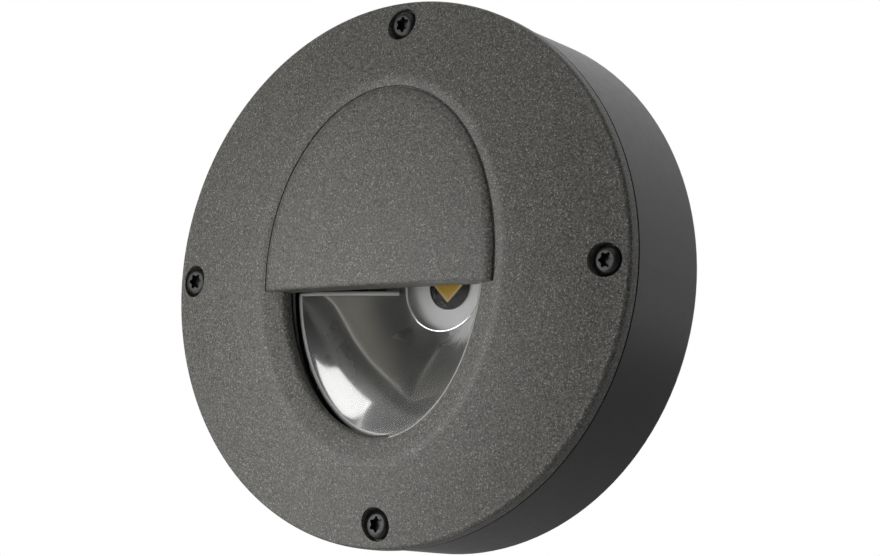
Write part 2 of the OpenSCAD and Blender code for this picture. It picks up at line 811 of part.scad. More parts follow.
module reflector() {
    ear_w = 7;
    color("#d9dbdd") stand() {
        union() {
            bowl_shell();
            translate([0, 0, led_hole_z - collar_t])
                difference() {
                    cylinder(r = led_hole_r + collar_w, h = collar_t);
                    translate([0, 0, -bite]) cylinder(r = led_hole_r, h = collar_t + 2 * bite);
                }
            for (s = [-1, 1])
                difference() {
                    union() {
                        translate([s * reflector_ear_x, reflector_ear_y, reflector_ear_z])
                            cylinder(r = reflector_ear_r, h = reflector_ear_t);
                        translate([0, 0, reflector_ear_z])
                            rotate(s > 0 ? -reflector_ear_angle : 180 + reflector_ear_angle)
                                translate([led_hole_r, -ear_w / 2, 0])
                                    cube([reflector_ear_ring - led_hole_r, ear_w, reflector_ear_t]);
                    }
                    bowl_hollow();
                    translate([s * reflector_ear_x, reflector_ear_y, reflector_ear_z - bite])
                        cylinder(r = small_screw_r + through_gap / 2, h = reflector_ear_t + 2 * bite);
                }
        }
    }
}

module reflector_screws() {
    color("#9a9da0") stand()
        for (s = [-1, 1])
            translate([s * reflector_ear_x, reflector_ear_y, reflector_ear_z + reflector_ear_t])
                small_screw(reflector_screw_len);
}

module led_board() {
    color("#eceded") stand() translate([0, 0, board_z])
        difference() {
            cylinder(r = board_r, h = board_t);
            for (t = board_screw_angles)
                rotate(t) translate([board_screw_ring, 0, -bite])
                    cylinder(r = small_screw_r + through_gap / 2, h = board_t + 2 * bite);
        }
}

module board_screws() {
    color("#b9bbbd") stand()
        for (t = board_screw_angles)
            rotate(t) translate([board_screw_ring, 0, board_top_z]) small_screw(board_screw_len);
}

module led_base() {
    color("#2a2a2c") stand()
        translate([0, 0, led_base_z]) cylinder(d = led_base_d, h = led_base_t);
}

module led_chip() {
    color("#e0aa28") stand() translate([0, 0, chip_z])
        rotate(45) translate([-chip_side / 2, -chip_side / 2, 0]) cube([chip_side, chip_side, chip_t]);
}

// A clear cap moulded over the chip: a shallow sphere with the chip's own hollow in its foot
module led_cap() {
    sphere_r = (cap_d * cap_d / 4 + cap_h * cap_h) / (2 * cap_h);
    color("#f4f4ee", 0.35) stand() translate([0, 0, chip_z])
        difference() {
            intersection() {
                translate([0, 0, cap_h - sphere_r]) sphere(r = sphere_r);
                cylinder(d = cap_d, h = cap_h + bite);
            }
            rotate(45) translate([-chip_side / 2, -chip_side / 2, -bite])
                cube([chip_side, chip_side, chip_t + bite]);
        }
}

module thermal_pad() {
    color("#b8c4cf") stand() translate([0, 0, pad_z])
        difference() {
            cylinder(r = board_r, h = pad_t);
            for (t = board_screw_angles)
                rotate(t) translate([board_screw_ring, 0, -bite])
                    cylinder(r = small_screw_r + through_gap / 2, h = pad_t + 2 * bite);
        }
}

module heat_spreader() {
    color("#b4b7ba") stand() translate([0, 0, spreader_z])
        difference() {
            cylinder(r = spreader_r, h = spreader_t);
            for (t = spreader_screw_angles)
                rotate(t) translate([spreader_screw_ring, 0, -bite])
                    cylinder(r = small_screw_r + through_gap / 2, h = spreader_t + 2 * bite);
            for (t = board_screw_angles)
                rotate(t) translate([board_screw_ring, 0, spreader_t - board_screw_len + board_t])
                    cylinder(r = small_screw_r + thread_gap, h = spreader_t);
        }
}

module spreader_screws() {
    color("#b9bbbd") stand()
        for (t = spreader_screw_angles)
            rotate(t) translate([spreader_screw_ring, 0, pad_z]) small_screw(spreader_screw_len - tip_gap);
}

// An open tray with fixing ears at its ends and slots where the leads leave it
module driver_case() {
    color("#e6e6e2") stand() translate([0, driver_y, driver_z])
        difference() {
            union() {
                translate([-driver_l / 2, -driver_w / 2, 0]) cube([driver_l, driver_w, driver_h - driver_lid_t]);
                for (s = [-1, 1]) {
                    translate([s * driver_ear_x, 0, 0]) cylinder(r = driver_ear_l / 2, h = driver_ear_t);
                    translate([s * (driver_l / 2 + driver_ear_l / 4) - driver_ear_l / 4, -driver_ear_l / 2, 0])
                        cube([driver_ear_l / 2, driver_ear_l, driver_ear_t]);
                }
            }
            translate([-driver_l / 2 + driver_wall, -driver_w / 2 + driver_wall, driver_wall])
                cube([driver_l - 2 * driver_wall, driver_w - 2 * driver_wall, driver_h]);
            for (s = [-1, 1])
                translate([s * driver_ear_x, 0, -bite])
                    cylinder(r = small_screw_r + through_gap / 2, h = driver_ear_t + 2 * bite);
        }
}

module driver_lid() {
    lip = 2;
    lip_gap = 0.2;
    vent_w = 1.6;
    vent_pitch = 6;
    lip_l = driver_l - 2 * (driver_wall + lip_gap);
    lip_w = driver_w - 2 * (driver_wall + lip_gap);
    color("#d8d8d4") stand() translate([0, driver_y, driver_top_z - driver_lid_t]) {
        difference() {
            translate([-driver_l / 2, -driver_w / 2, 0]) cube([driver_l, driver_w, driver_lid_t]);
            for (k = [-3:3])
                translate([vent_pitch * k - vent_w / 2, -driver_w / 4, -bite])
                    cube([vent_w, driver_w / 2, driver_lid_t + 2 * bite]);
        }
        difference() {
            translate([-lip_l / 2, -lip_w / 2, -lip]) cube([lip_l, lip_w, lip]);
            translate([-lip_l / 2 + driver_wall, -lip_w / 2 + driver_wall, -lip - bite])
                cube([lip_l - 2 * driver_wall, lip_w - 2 * driver_wall, lip + bite]);
        }
    }
}

// The converter's circuit: its board, transformer, capacitor and choke
module driver_circuit() {
    pcb_gap = 0.5;
    pcb_l = driver_l - 2 * (driver_wall + pcb_gap);
    pcb_w = driver_w - 2 * (driver_wall + pcb_gap);
    pcb_t = 1.6;
    headroom = 4;
    tall = driver_h - driver_wall - driver_lid_t - pcb_t - headroom;
    transformer_w = 14;
    capacitor_r = 5;
    capacitor_place = [16, 2];
    choke_r = 4;
    choke_h = 0.7 * tall;
    choke_x = -18;
    color("#2f6b3c") stand() translate([0, driver_y, driver_z + driver_wall]) {
        translate([-pcb_l / 2, -pcb_w / 2, 0]) cube([pcb_l, pcb_w, pcb_t]);
        translate([0, 0, pcb_t]) {
            translate([-transformer_w / 2, -transformer_w / 2, 0]) cube([transformer_w, transformer_w, tall]);
            translate(capacitor_place) cylinder(r = capacitor_r, h = tall);
            translate([choke_x, 0, 0]) cylinder(r = choke_r, h = choke_h);
        }
    }
}

module driver_screws() {
    color("#b9bbbd") stand()
        for (s = [-1, 1])
            translate([s * driver_ear_x, driver_y, driver_z + driver_ear_t])
                small_screw(driver_ear_t + boss_depth - tip_gap);
}

// Poles side by side; each has a clamp channel along y and a screw well from the top
function pole_x(k) = (k - (pole_count - 1) / 2) * pole_pitch;
module terminal_block() {
    deck_share = 0.72;
    pole_share = 0.84;
    well_gap = 0.5;
    deck_h = terminal_h * deck_share;
    pole_w = pole_pitch * pole_share;
    pole_depth = terminal_depth * deck_share;
    color("#dedfd8") stand() translate([0, -terminal_y, back_wall])
        difference() {
            union() {
                translate([-terminal_w / 2, -terminal_depth / 2, 0]) cube([terminal_w, terminal_depth, deck_h]);
                for (k = [0:pole_count - 1])
                    translate([pole_x(k) - pole_w / 2, -pole_depth / 2, 0]) cube([pole_w, pole_depth, terminal_h]);
                for (s = [-1, 1]) {
                    translate([s * terminal_ear_x, 0, 0]) cylinder(r = terminal_ear_r, h = terminal_ear_t);
                    translate([s * terminal_w / 2 - terminal_ear_r, -terminal_ear_r, 0])
                        cube([2 * terminal_ear_r, 2 * terminal_ear_r, terminal_ear_t]);
                }
            }
            for (k = [0:pole_count - 1])
                translate([pole_x(k), 0, clamp_z - back_wall]) {
                    translate([-clamp_side / 2, -terminal_depth / 2 - bite, -clamp_side / 2])
                        cube([clamp_side, terminal_depth + 2 * bite, clamp_side]);
                    cylinder(r = clamp_screw_r + well_gap, h = terminal_h);
                }
            for (s = [-1, 1])
                translate([s * terminal_ear_x, 0, -bite])
                    cylinder(r = small_screw_r + through_gap / 2, h = terminal_ear_t + 2 * bite);
        }
}

// Brass clamp blocks, one in each pole, with a wire bore along y and a tapped hole from the top
module terminal_clamps() {
    wire_r = lead_r + thread_gap;
    fit = 0.1;
    color("#c9a64a") stand()
        for (k = [0:pole_count - 1])
            translate([pole_x(k), -terminal_y, clamp_z])
                difference() {
                    translate([-clamp_side / 2 + fit, -clamp_l / 2, -clamp_side / 2])
                        cube([clamp_side - 2 * fit, clamp_l, clamp_side - fit]);
                    rotate([90, 0, 0]) cylinder(r = wire_r, h = clamp_l + 2 * bite, center = true);
                    cylinder(r = clamp_screw_r + thread_gap, h = clamp_side);
                }
}

module terminal_screws() {
    screw_h = 5;
    slot_w = 0.6;
    slot_depth = 0.8;
    color("#8a8d90") stand()
        for (k = [0:pole_count - 1])
            translate([pole_x(k), -terminal_y, clamp_z + lead_r + thread_gap])
                difference() {
                    cylinder(r = clamp_screw_r, h = screw_h);
                    translate([-clamp_screw_r - bite, -slot_w / 2, screw_h - slot_depth])
                        cube([2 * clamp_screw_r + 2 * bite, slot_w, slot_depth + bite]);
                }
}

module terminal_fixing_screws() {
    color("#b9bbbd") stand()
        for (s = [-1, 1])
            translate([s * terminal_ear_x, -terminal_y, back_wall + terminal_ear_t])
                small_screw(terminal_ear_t + boss_depth - tip_gap);
}

// A ring tag with a crimp barrel that takes the earth lead from below
module earth_tag() {
    neck_w = 3.2;
    tag_inset = 0.2;
    color("#c8cbcd") stand() translate([earth_x, earth_y, earth_top_z])
        difference() {
            union() {
                cylinder(r = earth_boss_r - tag_inset, h = earth_tag_t);
                translate([-neck_w / 2, -crimp_start - neck_l, 0]) cube([neck_w, crimp_start + neck_l, earth_tag_t]);
                translate([0, -crimp_start, crimp_r]) rotate([90, 0, 0]) cylinder(r = crimp_r, h = crimp_l);
            }
            translate([0, 0, -bite]) cylinder(r = small_screw_r + through_gap / 2, h = earth_tag_t + 2 * bite);
            translate([0, -crimp_start - neck_l, crimp_r]) rotate([90, 0, 0])
                cylinder(r = lead_r + thread_gap, h = crimp_l + bite);
        }
}

module earth_screw() {
    color("#c9a64a") stand()
        translate([earth_x, earth_y, earth_top_z + earth_tag_t]) small_screw(earth_screw_len + earth_tag_t - tip_gap);
}

// A bored rubber grommet: its neck fills the hole in the back wall and its flange sits inside
module cable_grommet() {
    neck_gap = 0.02;
    color("#1b1b1c") stand() translate([0, -cable_y, 0])
        difference() {
            union() {
                translate([0, 0, grommet_recess]) cylinder(r = grommet_neck_r - neck_gap, h = back_wall);
                translate([0, 0, back_wall]) cylinder(r = grommet_flange_r, h = grommet_flange_t);
                translate([0, 0, back_wall + grommet_flange_t])
                    cylinder(r1 = grommet_neck_r, r2 = cable_r + grommet_tip_wall, h = grommet_tip_h);
            }
            translate([0, 0, -bite])
                cylinder(r = cable_r, h = back_wall + grommet_flange_t + grommet_tip_h + 2 * bite);
        }
}

// The leads: each starts in a clamp and follows a circle inside the ribs.
// The supply pair runs up the left side, one lead above the other.
function ring_point(angle, height) = [lead_ring_r * cos(angle), lead_ring_r * sin(angle), height];
pair_start = 254;
pair_end = 146;
pair_steps = 9;
function pair_route(height) = concat(
    [for (k = [0:pair_steps]) ring_point(pair_start + (pair_end - pair_start) * k / pair_steps, height)],
    [
        [-driver_ear_x - driver_ear_l, driver_entry_y - lead_d, height],
        [-driver_ear_x, driver_entry_y, height],
        [-driver_l / 2, driver_entry_y, height]
    ]
);
clamp_end_y = -terminal_y - clamp_l / 4;

module live_lead() {
    color("#6b3f22") stand()
        tube(smooth_route(concat(
            [[pole_x(0), clamp_end_y, clamp_z], [pole_x(0), terminal_low_y - lead_d / 2, clamp_z]],
            pair_route(live_z)
        )), lead_r);
}

module neutral_lead() {
    dip = 0.2;
    over_z = neutral_z - dip;
    turn_y = terminal_low_y - lead_d;
    color("#2f5fa8") stand()
        tube(smooth_route(concat(
            [
                [pole_x(1), clamp_end_y, clamp_z], [pole_x(1), terminal_low_y - lead_d / 4, clamp_z],
                [pole_x(1) - pole_pitch / 3, turn_y, (clamp_z + over_z) / 2], [pole_x(0), turn_y, over_z]
            ],
            pair_route(neutral_z)
        )), lead_r);
}

module earth_lead() {
    crimp_z = earth_top_z + crimp_r;
    crimp_y = earth_y - crimp_start;
    color("#7aa23a") stand()
        tube(smooth_route([
            [pole_x(2), clamp_end_y, clamp_z], [pole_x(2), terminal_low_y - lead_d / 2, clamp_z],
            ring_point(earth_angle - 22, (clamp_z + crimp_z) / 2), ring_point(earth_angle - 12, crimp_z),
            ring_point(earth_angle - 4, crimp_z), [earth_x, crimp_y - crimp_l, crimp_z],
            [earth_x, crimp_y - crimp_l / 3, crimp_z]
        ]), lead_r);
}

// The two leads from the driver down to the LED board
led_lead_x = 5;
led_lead_lift = 0.3;
led_entry_z = driver_z + driver_h / 2;
function led_route(side) = [
    for (p = [
        [driver_low_y, led_entry_z], [driver_low_y - lead_d, led_entry_z],
        [(driver_low_y + board_r) / 2 + lead_d, led_entry_z - lead_r], [board_r + lead_d, board_top_z + lead_d],
        [board_r - lead_d, board_top_z + lead_r + led_lead_lift], [board_r - 2 * lead_d, board_top_z + lead_r]
    ])
        [side * led_lead_x, p[0], p[1]]
];

module led_lead_plus() {
    color("#b3261e") stand() tube(smooth_route(led_route(1)), lead_r);
}

module led_lead_minus() {
    color("#1a1a1a") stand() tube(smooth_route(led_route(-1)), lead_r);
}

front_cover();
cover_screws();
cover_gasket();
housing();
window_glass();
glass_gasket();
glass_retainer();
retainer_screws();
reflector();
reflector_screws();
led_board();
board_screws();
led_base();
led_chip();
led_cap();
thermal_pad();
heat_spreader();
spreader_screws();
driver_case();
driver_lid();
driver_circuit();
driver_screws();
terminal_block();
terminal_clamps();
terminal_screws();
terminal_fixing_screws();
earth_tag();
earth_screw();
cable_grommet();
live_lead();
neutral_lead();
earth_lead();
led_lead_plus();
led_lead_minus();
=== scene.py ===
"""LED wall spotlight: finishes, fine castings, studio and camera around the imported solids."""

import math

import bmesh
import bpy
from bpy.props import FloatProperty, FloatVectorProperty, PointerProperty
from mathutils import Matrix, Vector


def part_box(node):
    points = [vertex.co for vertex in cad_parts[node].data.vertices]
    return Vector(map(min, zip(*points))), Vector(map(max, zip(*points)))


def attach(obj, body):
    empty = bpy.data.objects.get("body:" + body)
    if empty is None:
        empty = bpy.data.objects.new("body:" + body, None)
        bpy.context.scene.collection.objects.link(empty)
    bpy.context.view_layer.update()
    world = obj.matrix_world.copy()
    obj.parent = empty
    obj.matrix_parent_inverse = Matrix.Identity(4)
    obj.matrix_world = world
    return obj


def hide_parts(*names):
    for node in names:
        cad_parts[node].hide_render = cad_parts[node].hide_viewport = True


bl_info = {
    "name": "LED Wall Spotlight",
    "version": (1, 0, 0),
    "blender": (4, 5, 0),
    "location": "View3D > Sidebar > Wall Spotlight",
    "description": "Builds the fine castings, finishes and studio of a round LED wall spotlight",
    "category": "Object",
}

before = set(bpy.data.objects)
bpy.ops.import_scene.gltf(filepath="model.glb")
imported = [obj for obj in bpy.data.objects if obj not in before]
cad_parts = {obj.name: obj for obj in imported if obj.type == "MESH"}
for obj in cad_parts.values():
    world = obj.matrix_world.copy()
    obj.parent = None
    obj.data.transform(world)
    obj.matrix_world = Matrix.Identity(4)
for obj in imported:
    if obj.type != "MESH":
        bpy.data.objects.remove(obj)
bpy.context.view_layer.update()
MM = 0.001

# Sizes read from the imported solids, in metres. Depths are counted from the wall plane towards the viewer.


def front_of(node):
    """The greatest distance of a node from the wall."""
    return -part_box(node)[0].y


def back_of(node):
    """The least distance of a node from the wall."""
    return -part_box(node)[1].y


def half_width_of(node):
    """Half the width of a node across the wall."""
    low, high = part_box(node)
    return (high.x - low.x) / 2


COVER_R = half_width_of("front_cover")
COVER_BACK = front_of("cover_gasket")
CROWN = front_of("front_cover")
SCREW_TOP = front_of("cover_screws")
SEAT = front_of("glass_gasket")
GLASS_BACK = back_of("window_glass")
RIM = front_of("reflector")
# The hood's crown stands this far above the cover's edge
HOOD_RISE = 10 * MM
EDGE = CROWN - HOOD_RISE


def number(name, description, default, unit="NONE"):
    """A plain number or an angle."""
    return FloatProperty(name=name, description=description, default=default, unit=unit)


def length(name, description, default):
    """A length property, shown in the file's unit."""
    return FloatProperty(name=name, description=description, default=default, unit="LENGTH", precision=5)


def colour(name, description, default):
    """A colour property."""
    return FloatVectorProperty(
        name=name, description=description, default=default, subtype="COLOR", size=3, min=0.0, max=1.0
    )


class WallspotCover(bpy.types.PropertyGroup):
    """Sizes and paint of the cover casting"""

    dome_rise: length("Dome rise", "Rise of the face at its centre above the side wall", 10.8 * MM)
    edge_round: length("Edge round", "Radius of the outer edge", 1.1 * MM)
    rim: length("Rim", "Thickness of the cover's rim", 4.4 * MM)
    wall: length("Wall", "Wall thickness of the casting", 3.2 * MM)
    opening_w: length("Opening half width", "Half width of the light opening", 32.4 * MM)
    opening_h: length("Opening half height", "Half height of the light opening", 44.6 * MM)
    opening_round: length("Opening edge round", "Radius of the opening's edge", 1.3 * MM)
    dish: length("Dish width", "Width of the dish between opening and ridge", 7.8 * MM)
    dish_slope: number("Dish slope", "Fall of the dish inside the ridge", 0.38)
    crest: length("Crest", "Half width of the ridge's rounded crest", 1.6 * MM)
    pocket_lap: length("Pocket lap", "Distance from the opening to the pocket's wall", 6.0 * MM)
    pocket_wall: length("Pocket wall", "Thickness of the pocket's wall", 2.8 * MM)
    screw_ring: length("Screw ring", "Radius of the circle of screws", 68.3 * MM)
    bore: length("Counterbore", "Radius of the counterbores", 4.55 * MM)
    hole: length("Screw hole", "Radius of the screws' through holes", 2.25 * MM)
    seat_depth: length("Seat depth", "Distance from the screw heads' tops to their seats", 2.9 * MM)
    ear_out: length("Ear offset", "Distance of the retainer's screws outside the pocket", 5.2 * MM)
    ear_r: length("Ear radius", "Radius of the retainer's screw bosses", 3.6 * MM)
    tap_r: length("Tapped hole", "Radius of the holes for the retainer's screws", 1.55 * MM)
    tap_depth: length("Tapped depth", "Depth of the holes for the retainer's screws", 4 * MM)
    paint: colour("Paint", "Colour of the textured powder coat", (0.073, 0.071, 0.064))
    # The flecks' pale colour also paints the coat's glints
    fleck_and_glint: colour("Fleck", "Colour of the coat's pale flecks", (0.30, 0.29, 0.27))


class WallspotHood(bpy.types.PropertyGroup):
    """Sizes of the eyelid hood"""

    side_lap: length("Side lap", "Distance of the hood beyond the opening at each side", 5.35 * MM)
    top_lap: length("Top lap", "Distance of the hood above the opening", 5.5 * MM)
    drop: length("Drop", "Depth of the straight lower edge below the centre", 5 * MM)
    face_r: length("Face radius", "Radius of the hood's domed face, upright", 320 * MM)
    across_r: length("Radius across", "Radius of the hood's domed face, across", 430 * MM)
    bevel_w: length("Bevel width", "Width of the soft bevel along the arch", 2.7 * MM)
    bevel_h: length("Bevel height", "Height of the bevel", 1.25 * MM)
    lip_round: length("Lip round", "Width of the rounding along the lower edge", 1.1 * MM)
    wall: length("Wall", "Wall thickness of the hood", 2.6 * MM)
    groove: length("Groove", "Radius of the fine groove along the hood's foot", 0.42 * MM)


class WallspotReflector(bpy.types.PropertyGroup):
    """Sizes and metal of the reflector"""

    hole_r: length("Hole radius", "Radius of the hole for the light source", 12.9 * MM)
    hole_z: length("Hole height", "Distance of the hole from the wall", 13.0 * MM)
    rim_w: length("Rim half width", "Half width of the rim", 32 * MM)
    rim_h: length("Rim half height", "Half height of the rim", 44.2 * MM)
    wall: length("Wall", "Wall thickness of the bowl", 1.2 * MM)
    collar_w: length("Collar", "Width of the collar round the hole", 2.2 * MM)
    collar_t: length("Collar thickness", "Thickness of the collar", 1.2 * MM)
    ear_r: length("Ear radius", "Radius of the fixing ears", 4 * MM)
    ear_w: length("Arm width", "Width of the arms that carry the ears", 7 * MM)
    ear_t: length("Ear thickness", "Thickness of the ears and arms", 2 * MM)
    ear_lift: length("Ear lift", "Height of the ears above the hole", 6 * MM)
    ear_hole: length("Ear hole", "Radius of the ears' screw holes", 1.75 * MM)
    screw_head: length("Screw head", "Radius of the fixing screws' heads", 2.7 * MM)
    roll: length("Rolled edge", "Radius of the bead along the rim and lips", 0.7 * MM)
    apron_w: length("Apron half width", "Half width of the plate behind the hood", 29.5 * MM)
    apron_h: length("Apron height", "Height of the plate above the centre", 40 * MM)
    apron_drop: length("Apron drop", "Depth of the plate's lower edge below the centre", 3.6 * MM)
    apron_z: length("Apron depth", "Distance of the plate from the wall", 33.4 * MM)
    apron_t: length("Apron thickness", "Thickness of the plate", 0.8 * MM)
    lip_angle: number("Lip angle", "Angle of the lips below the horizontal", math.radians(9), "ROTATION")
    power: number("Flare", "How the bowl widens: a plain cone at 1, flaring to the rim below 1", 0.8)
    metal: colour("Metal", "Colour of the polished metal", (0.95, 0.95, 0.94))
    apron: colour("Apron", "Pale lacquer on the plate behind the hood", (0.95, 0.91, 0.80))


class WallspotFinish(bpy.types.PropertyGroup):
    """Colours of the other pieces"""

    housing: colour("Housing paint", "Smooth satin powder coat", (0.028, 0.0285, 0.0325))
    black_steel: colour("Black steel", "Coated screws", (0.014, 0.014, 0.015))
    rubber: colour("Rubber", "Gaskets and grommet", (0.012, 0.012, 0.012))
    lip_r: length("Gasket lip", "Radius of the pressed-out edge of the cover gasket", 0.45 * MM)
    lip_set_back: length("Lip set back", "Distance of the lip's centre line from the cover's side", 0.5 * MM)
    glass: colour("Glass", "Window glass", (0.01, 0.012, 0.012))
    steel: colour("Sheet steel", "Plated sheet", (0.55, 0.56, 0.57))
    zinc: colour("Zinc", "Plated screws", (0.62, 0.63, 0.65))
    aluminium: colour("Aluminium", "Heat spreader", (0.72, 0.73, 0.74))
    brass: colour("Brass", "Clamps and earth screw", (0.78, 0.58, 0.25))
    board: colour("Board", "White solder mask", (0.92, 0.92, 0.93))
    phosphor: colour("Phosphor", "Yellow emitter", (0.80, 0.47, 0.03))
    phosphor_edge: colour("Phosphor edge", "Pale border of the emitter", (0.86, 0.66, 0.24))
    cap: colour("Cap", "Clear silicone cap", (0.02, 0.02, 0.02))
    cap_gap: length("Cap gap", "Air between the cap and the emitter", 0.05 * MM)
    cap_roll: length("Cap foot", "Radius of the cap's rounded foot", 0.5 * MM)
    pad: colour("Thermal pad", "Soft pad", (0.33, 0.40, 0.46))
    plastic: colour("Moulded plastic", "Driver case and terminal block", (0.74, 0.74, 0.70))
    circuit: colour("Circuit", "Green solder mask", (0.035, 0.18, 0.06))
    live: colour("Live lead", "Brown insulation", (0.14, 0.05, 0.02))
    neutral: colour("Neutral lead", "Blue insulation", (0.03, 0.10, 0.36))
    earth: colour("Earth lead", "Green insulation", (0.18, 0.36, 0.04))
    plus: colour("LED lead, plus", "Red insulation", (0.45, 0.02, 0.02))
    minus: colour("LED lead, minus", "Black insulation", (0.02, 0.02, 0.02))


class WallspotStage(bpy.types.PropertyGroup):
    """Studio light, floor and cards"""

    floor_drop: length("Floor drop", "Distance of the floor below the light's centre", 0.55)
    ambient: number("Ambient", "Level of the light from all sides", 0.27)
    light_level: number("Light level", "Share of the soft boxes' full power", 1.0)
    floor_tone: colour("Floor", "Colour of the pale floor", (0.86, 0.86, 0.86))
    card_tone: colour("Cards", "Colour of the cards, at their full tone", (1.0, 1.0, 1.0))


GROUPS = {
    "wallspot_cover": WallspotCover,
    "wallspot_hood": WallspotHood,
    "wallspot_reflector": WallspotReflector,
    "wallspot_finish": WallspotFinish,
    "wallspot_stage": WallspotStage,
}


# Shader tools


class Value:
    """A socket that carries a number, used in plain arithmetic."""

    def __init__(self, finish, socket):
        self.finish = finish
        self.socket = socket

    def math(self, operation, other=None, swap=False):
        """The result of a Math node on this value and another."""
        pair = [self] if other is None else ([other, self] if swap else [self, other])
        return self.finish.node("ShaderNodeMath", {"operation": operation}, dict(enumerate(pair)))

    def __add__(self, other):
        return self.math("ADD", other)

    def __sub__(self, other):
        return self.math("SUBTRACT", other)

    def __rsub__(self, other):
        return self.math("SUBTRACT", other, swap=True)

    def __mul__(self, other):
        return self.math("MULTIPLY", other)

    def __truediv__(self, other):
        return self.math("DIVIDE", other)

    def __rtruediv__(self, other):
        return self.math("DIVIDE", other, swap=True)

    def __abs__(self):
        return self.math("ABSOLUTE")

    def beside(self, output):
        """Another output of the same node."""
        return Value(self.finish, self.socket.node.outputs[output])

    __radd__ = __add__
    __rmul__ = __mul__


class NodeTree:
    """A material's or world's nodes, with one method that adds any node."""

    def __init__(self, owner):
        owner.use_nodes = True
        self.tree = owner.node_tree
        self.tree.nodes.clear()

    def put(self, node, key, value):
        """Set a socket to a number or colour, or link it."""
        if isinstance(value, Value):
            self.tree.links.new(value.socket, node.inputs[key])
        else:
            node.inputs[key].default_value = value

    def node(self, kind, settings=None, sockets=None, output=0):
        """Add a node: its settings first, then its sockets, and return one of its outputs."""
        made = self.tree.nodes.new(kind)
        for key, value in (settings or {}).items():
            if key == "stops":
                self.ramp(made, value)
            else:
                setattr(made, key, value)
        for key, value in (sockets or {}).items():
            self.put(made, key, value)
        return Value(self, made.outputs[output]) if made.outputs else None

    def ramp(self, made, stops):
        """Give a colour ramp its two stops, as (position, grey level) pairs."""
        for point, (position, grey) in zip(made.color_ramp.elements, stops):
            point.position = position
            point.color = (grey, grey, grey, 1.0)


class Finish(NodeTree):
    """A node material round one main shader."""

    def __init__(self, name, base, roughness, **constants):
        self.material = bpy.data.materials.new(name)
        super().__init__(self.material)
        sockets = {"Base Color": (*base, 1.0), "Roughness": roughness}
        for key, value in constants.items():
            sockets[key.replace("_", " ").title().replace("Ior", "IOR")] = value
        surface = self.node("ShaderNodeBsdfPrincipled", None, sockets)
        self.shader = surface.socket.node
        self.node("ShaderNodeOutputMaterial", None, {"Surface": surface})
        self.place = self.node("ShaderNodeTexCoord", output="Object")

    def noise(self, scale, detail=2.0, roughness=0.5, stretch=None):
        """Noise over the object, optionally stretched along its axes."""
        place = self.place
        if stretch:
            place = self.node("ShaderNodeMapping", None, {"Vector": place, "Scale": stretch})
        sockets = {"Vector": place, "Scale": scale, "Detail": detail, "Roughness": roughness}
        return self.node("ShaderNodeTexNoise", None, sockets)

    def rise(self, value, low, high):
        """From 0, where a value is at the low mark or under it, to 1 from the high mark on."""
        return self.node("ShaderNodeValToRGB", {"stops": ((low, 0.0), (high, 1.0))}, {0: value})

    def blend(self, share, first, second):
        """A colour between two colours."""
        first, second = (c if isinstance(c, Value) else (*c, 1.0) for c in (first, second))
        sockets = {0: share, 6: first, 7: second}
        return self.node("ShaderNodeMix", {"data_type": "RGBA"}, sockets, output=2)

    def vary(self, key, value):
        """Let a value or colour drive one of the shader's sockets."""
        self.put(self.shader, key, value)

    def mottle(self, scale, base, low, high):
        """Let slow noise carry the base colour from one tint of it to another."""
        cloud = self.rise(self.noise(scale), 0.3, 0.7)
        self.vary("Base Color", self.blend(cloud, tint(base, low), tint(base, high)))

    def bump(self, height, strength, distance):
        """Let a height value tilt the surface."""
        sockets = {"Strength": strength, "Distance": distance, "Height": height}
        self.vary("Normal", self.node("ShaderNodeBump", None, sockets))

    def haze(self, share, base, roughness):
        """Mix in a duller lobe of the same metal."""
        sockets = {"Base Color": (*base, 1.0), "Roughness": roughness, "Metallic": 1.0}
        dull = self.node("ShaderNodeBsdfPrincipled", None, sockets)
        clear = Value(self, self.shader.outputs[0])
        mixed = self.node("ShaderNodeMixShader", None, {0: share, 1: clear, 2: dull})
        self.put(self.tree.get_output_node("ALL"), "Surface", mixed)


def tint(base, factor):
    """A colour made lighter or darker."""
    return tuple(min(1.0, c * factor) for c in base)


# Finishes. Noise scales are in features per metre, and noise values run from 0 to 1.


def powder_coat(name, base, fleck_and_glint):
    """Textured powder coat: a fine pebbled skin with pale flecks that also paint its glints, painted shade
    in its pits and painted light on its tops.
    """
    made = Finish(name, base, 0.5)
    pebble = made.noise(1500, detail=3.0, roughness=0.6)
    grain = made.noise(2600, detail=1.0)
    cloud = made.noise(60)
    # The pebble's pits take painted shade and its raised tops painted light, from the same noise as the bump
    body = made.blend(made.rise(pebble, 0.36, 0.64), tint(base, 0.45), tint(base, 1.5))
    body = made.blend(made.rise(cloud, 0.3, 0.7) * 0.12, body, tint(base, 1.3))
    # Pale flecks on the grain's raised spots, which also paint the coat's glints
    spots = made.rise(grain, 0.58, 0.7)
    made.vary("Base Color", made.blend(spots * 0.85, body, fleck_and_glint))
    made.vary("Roughness", 0.38 + pebble * 0.2)
    made.bump(pebble + grain * 0.35, strength=0.55, distance=0.16 * MM)
    return made.material


def satin_paint(name, base):
    """Smooth powder coat with a faint orange peel."""
    made = Finish(name, base, 0.38, specular_ior_level=0.35)
    made.mottle(28, base, 0.94, 1.06)
    peel = made.noise(420)
    made.vary("Roughness", 0.33 + peel * 0.1)
    made.bump(peel, strength=0.12, distance=0.05 * MM)
    return made.material


def highlight_edge_metal(name, base):
    """Bright metal along the opening's edge, a painted highlight line, with a fine scuff."""
    made = Finish(name, base, 0.22, metallic=0.75)
    scuff = made.noise(900, detail=3.0, roughness=0.7)
    made.vary("Base Color", made.blend(made.rise(scuff, 0.35, 0.75), tint(base, 0.8), base))
    made.vary("Roughness", 0.16 + scuff * 0.16)
    made.bump(scuff, strength=0.1, distance=0.03 * MM)
    return made.material


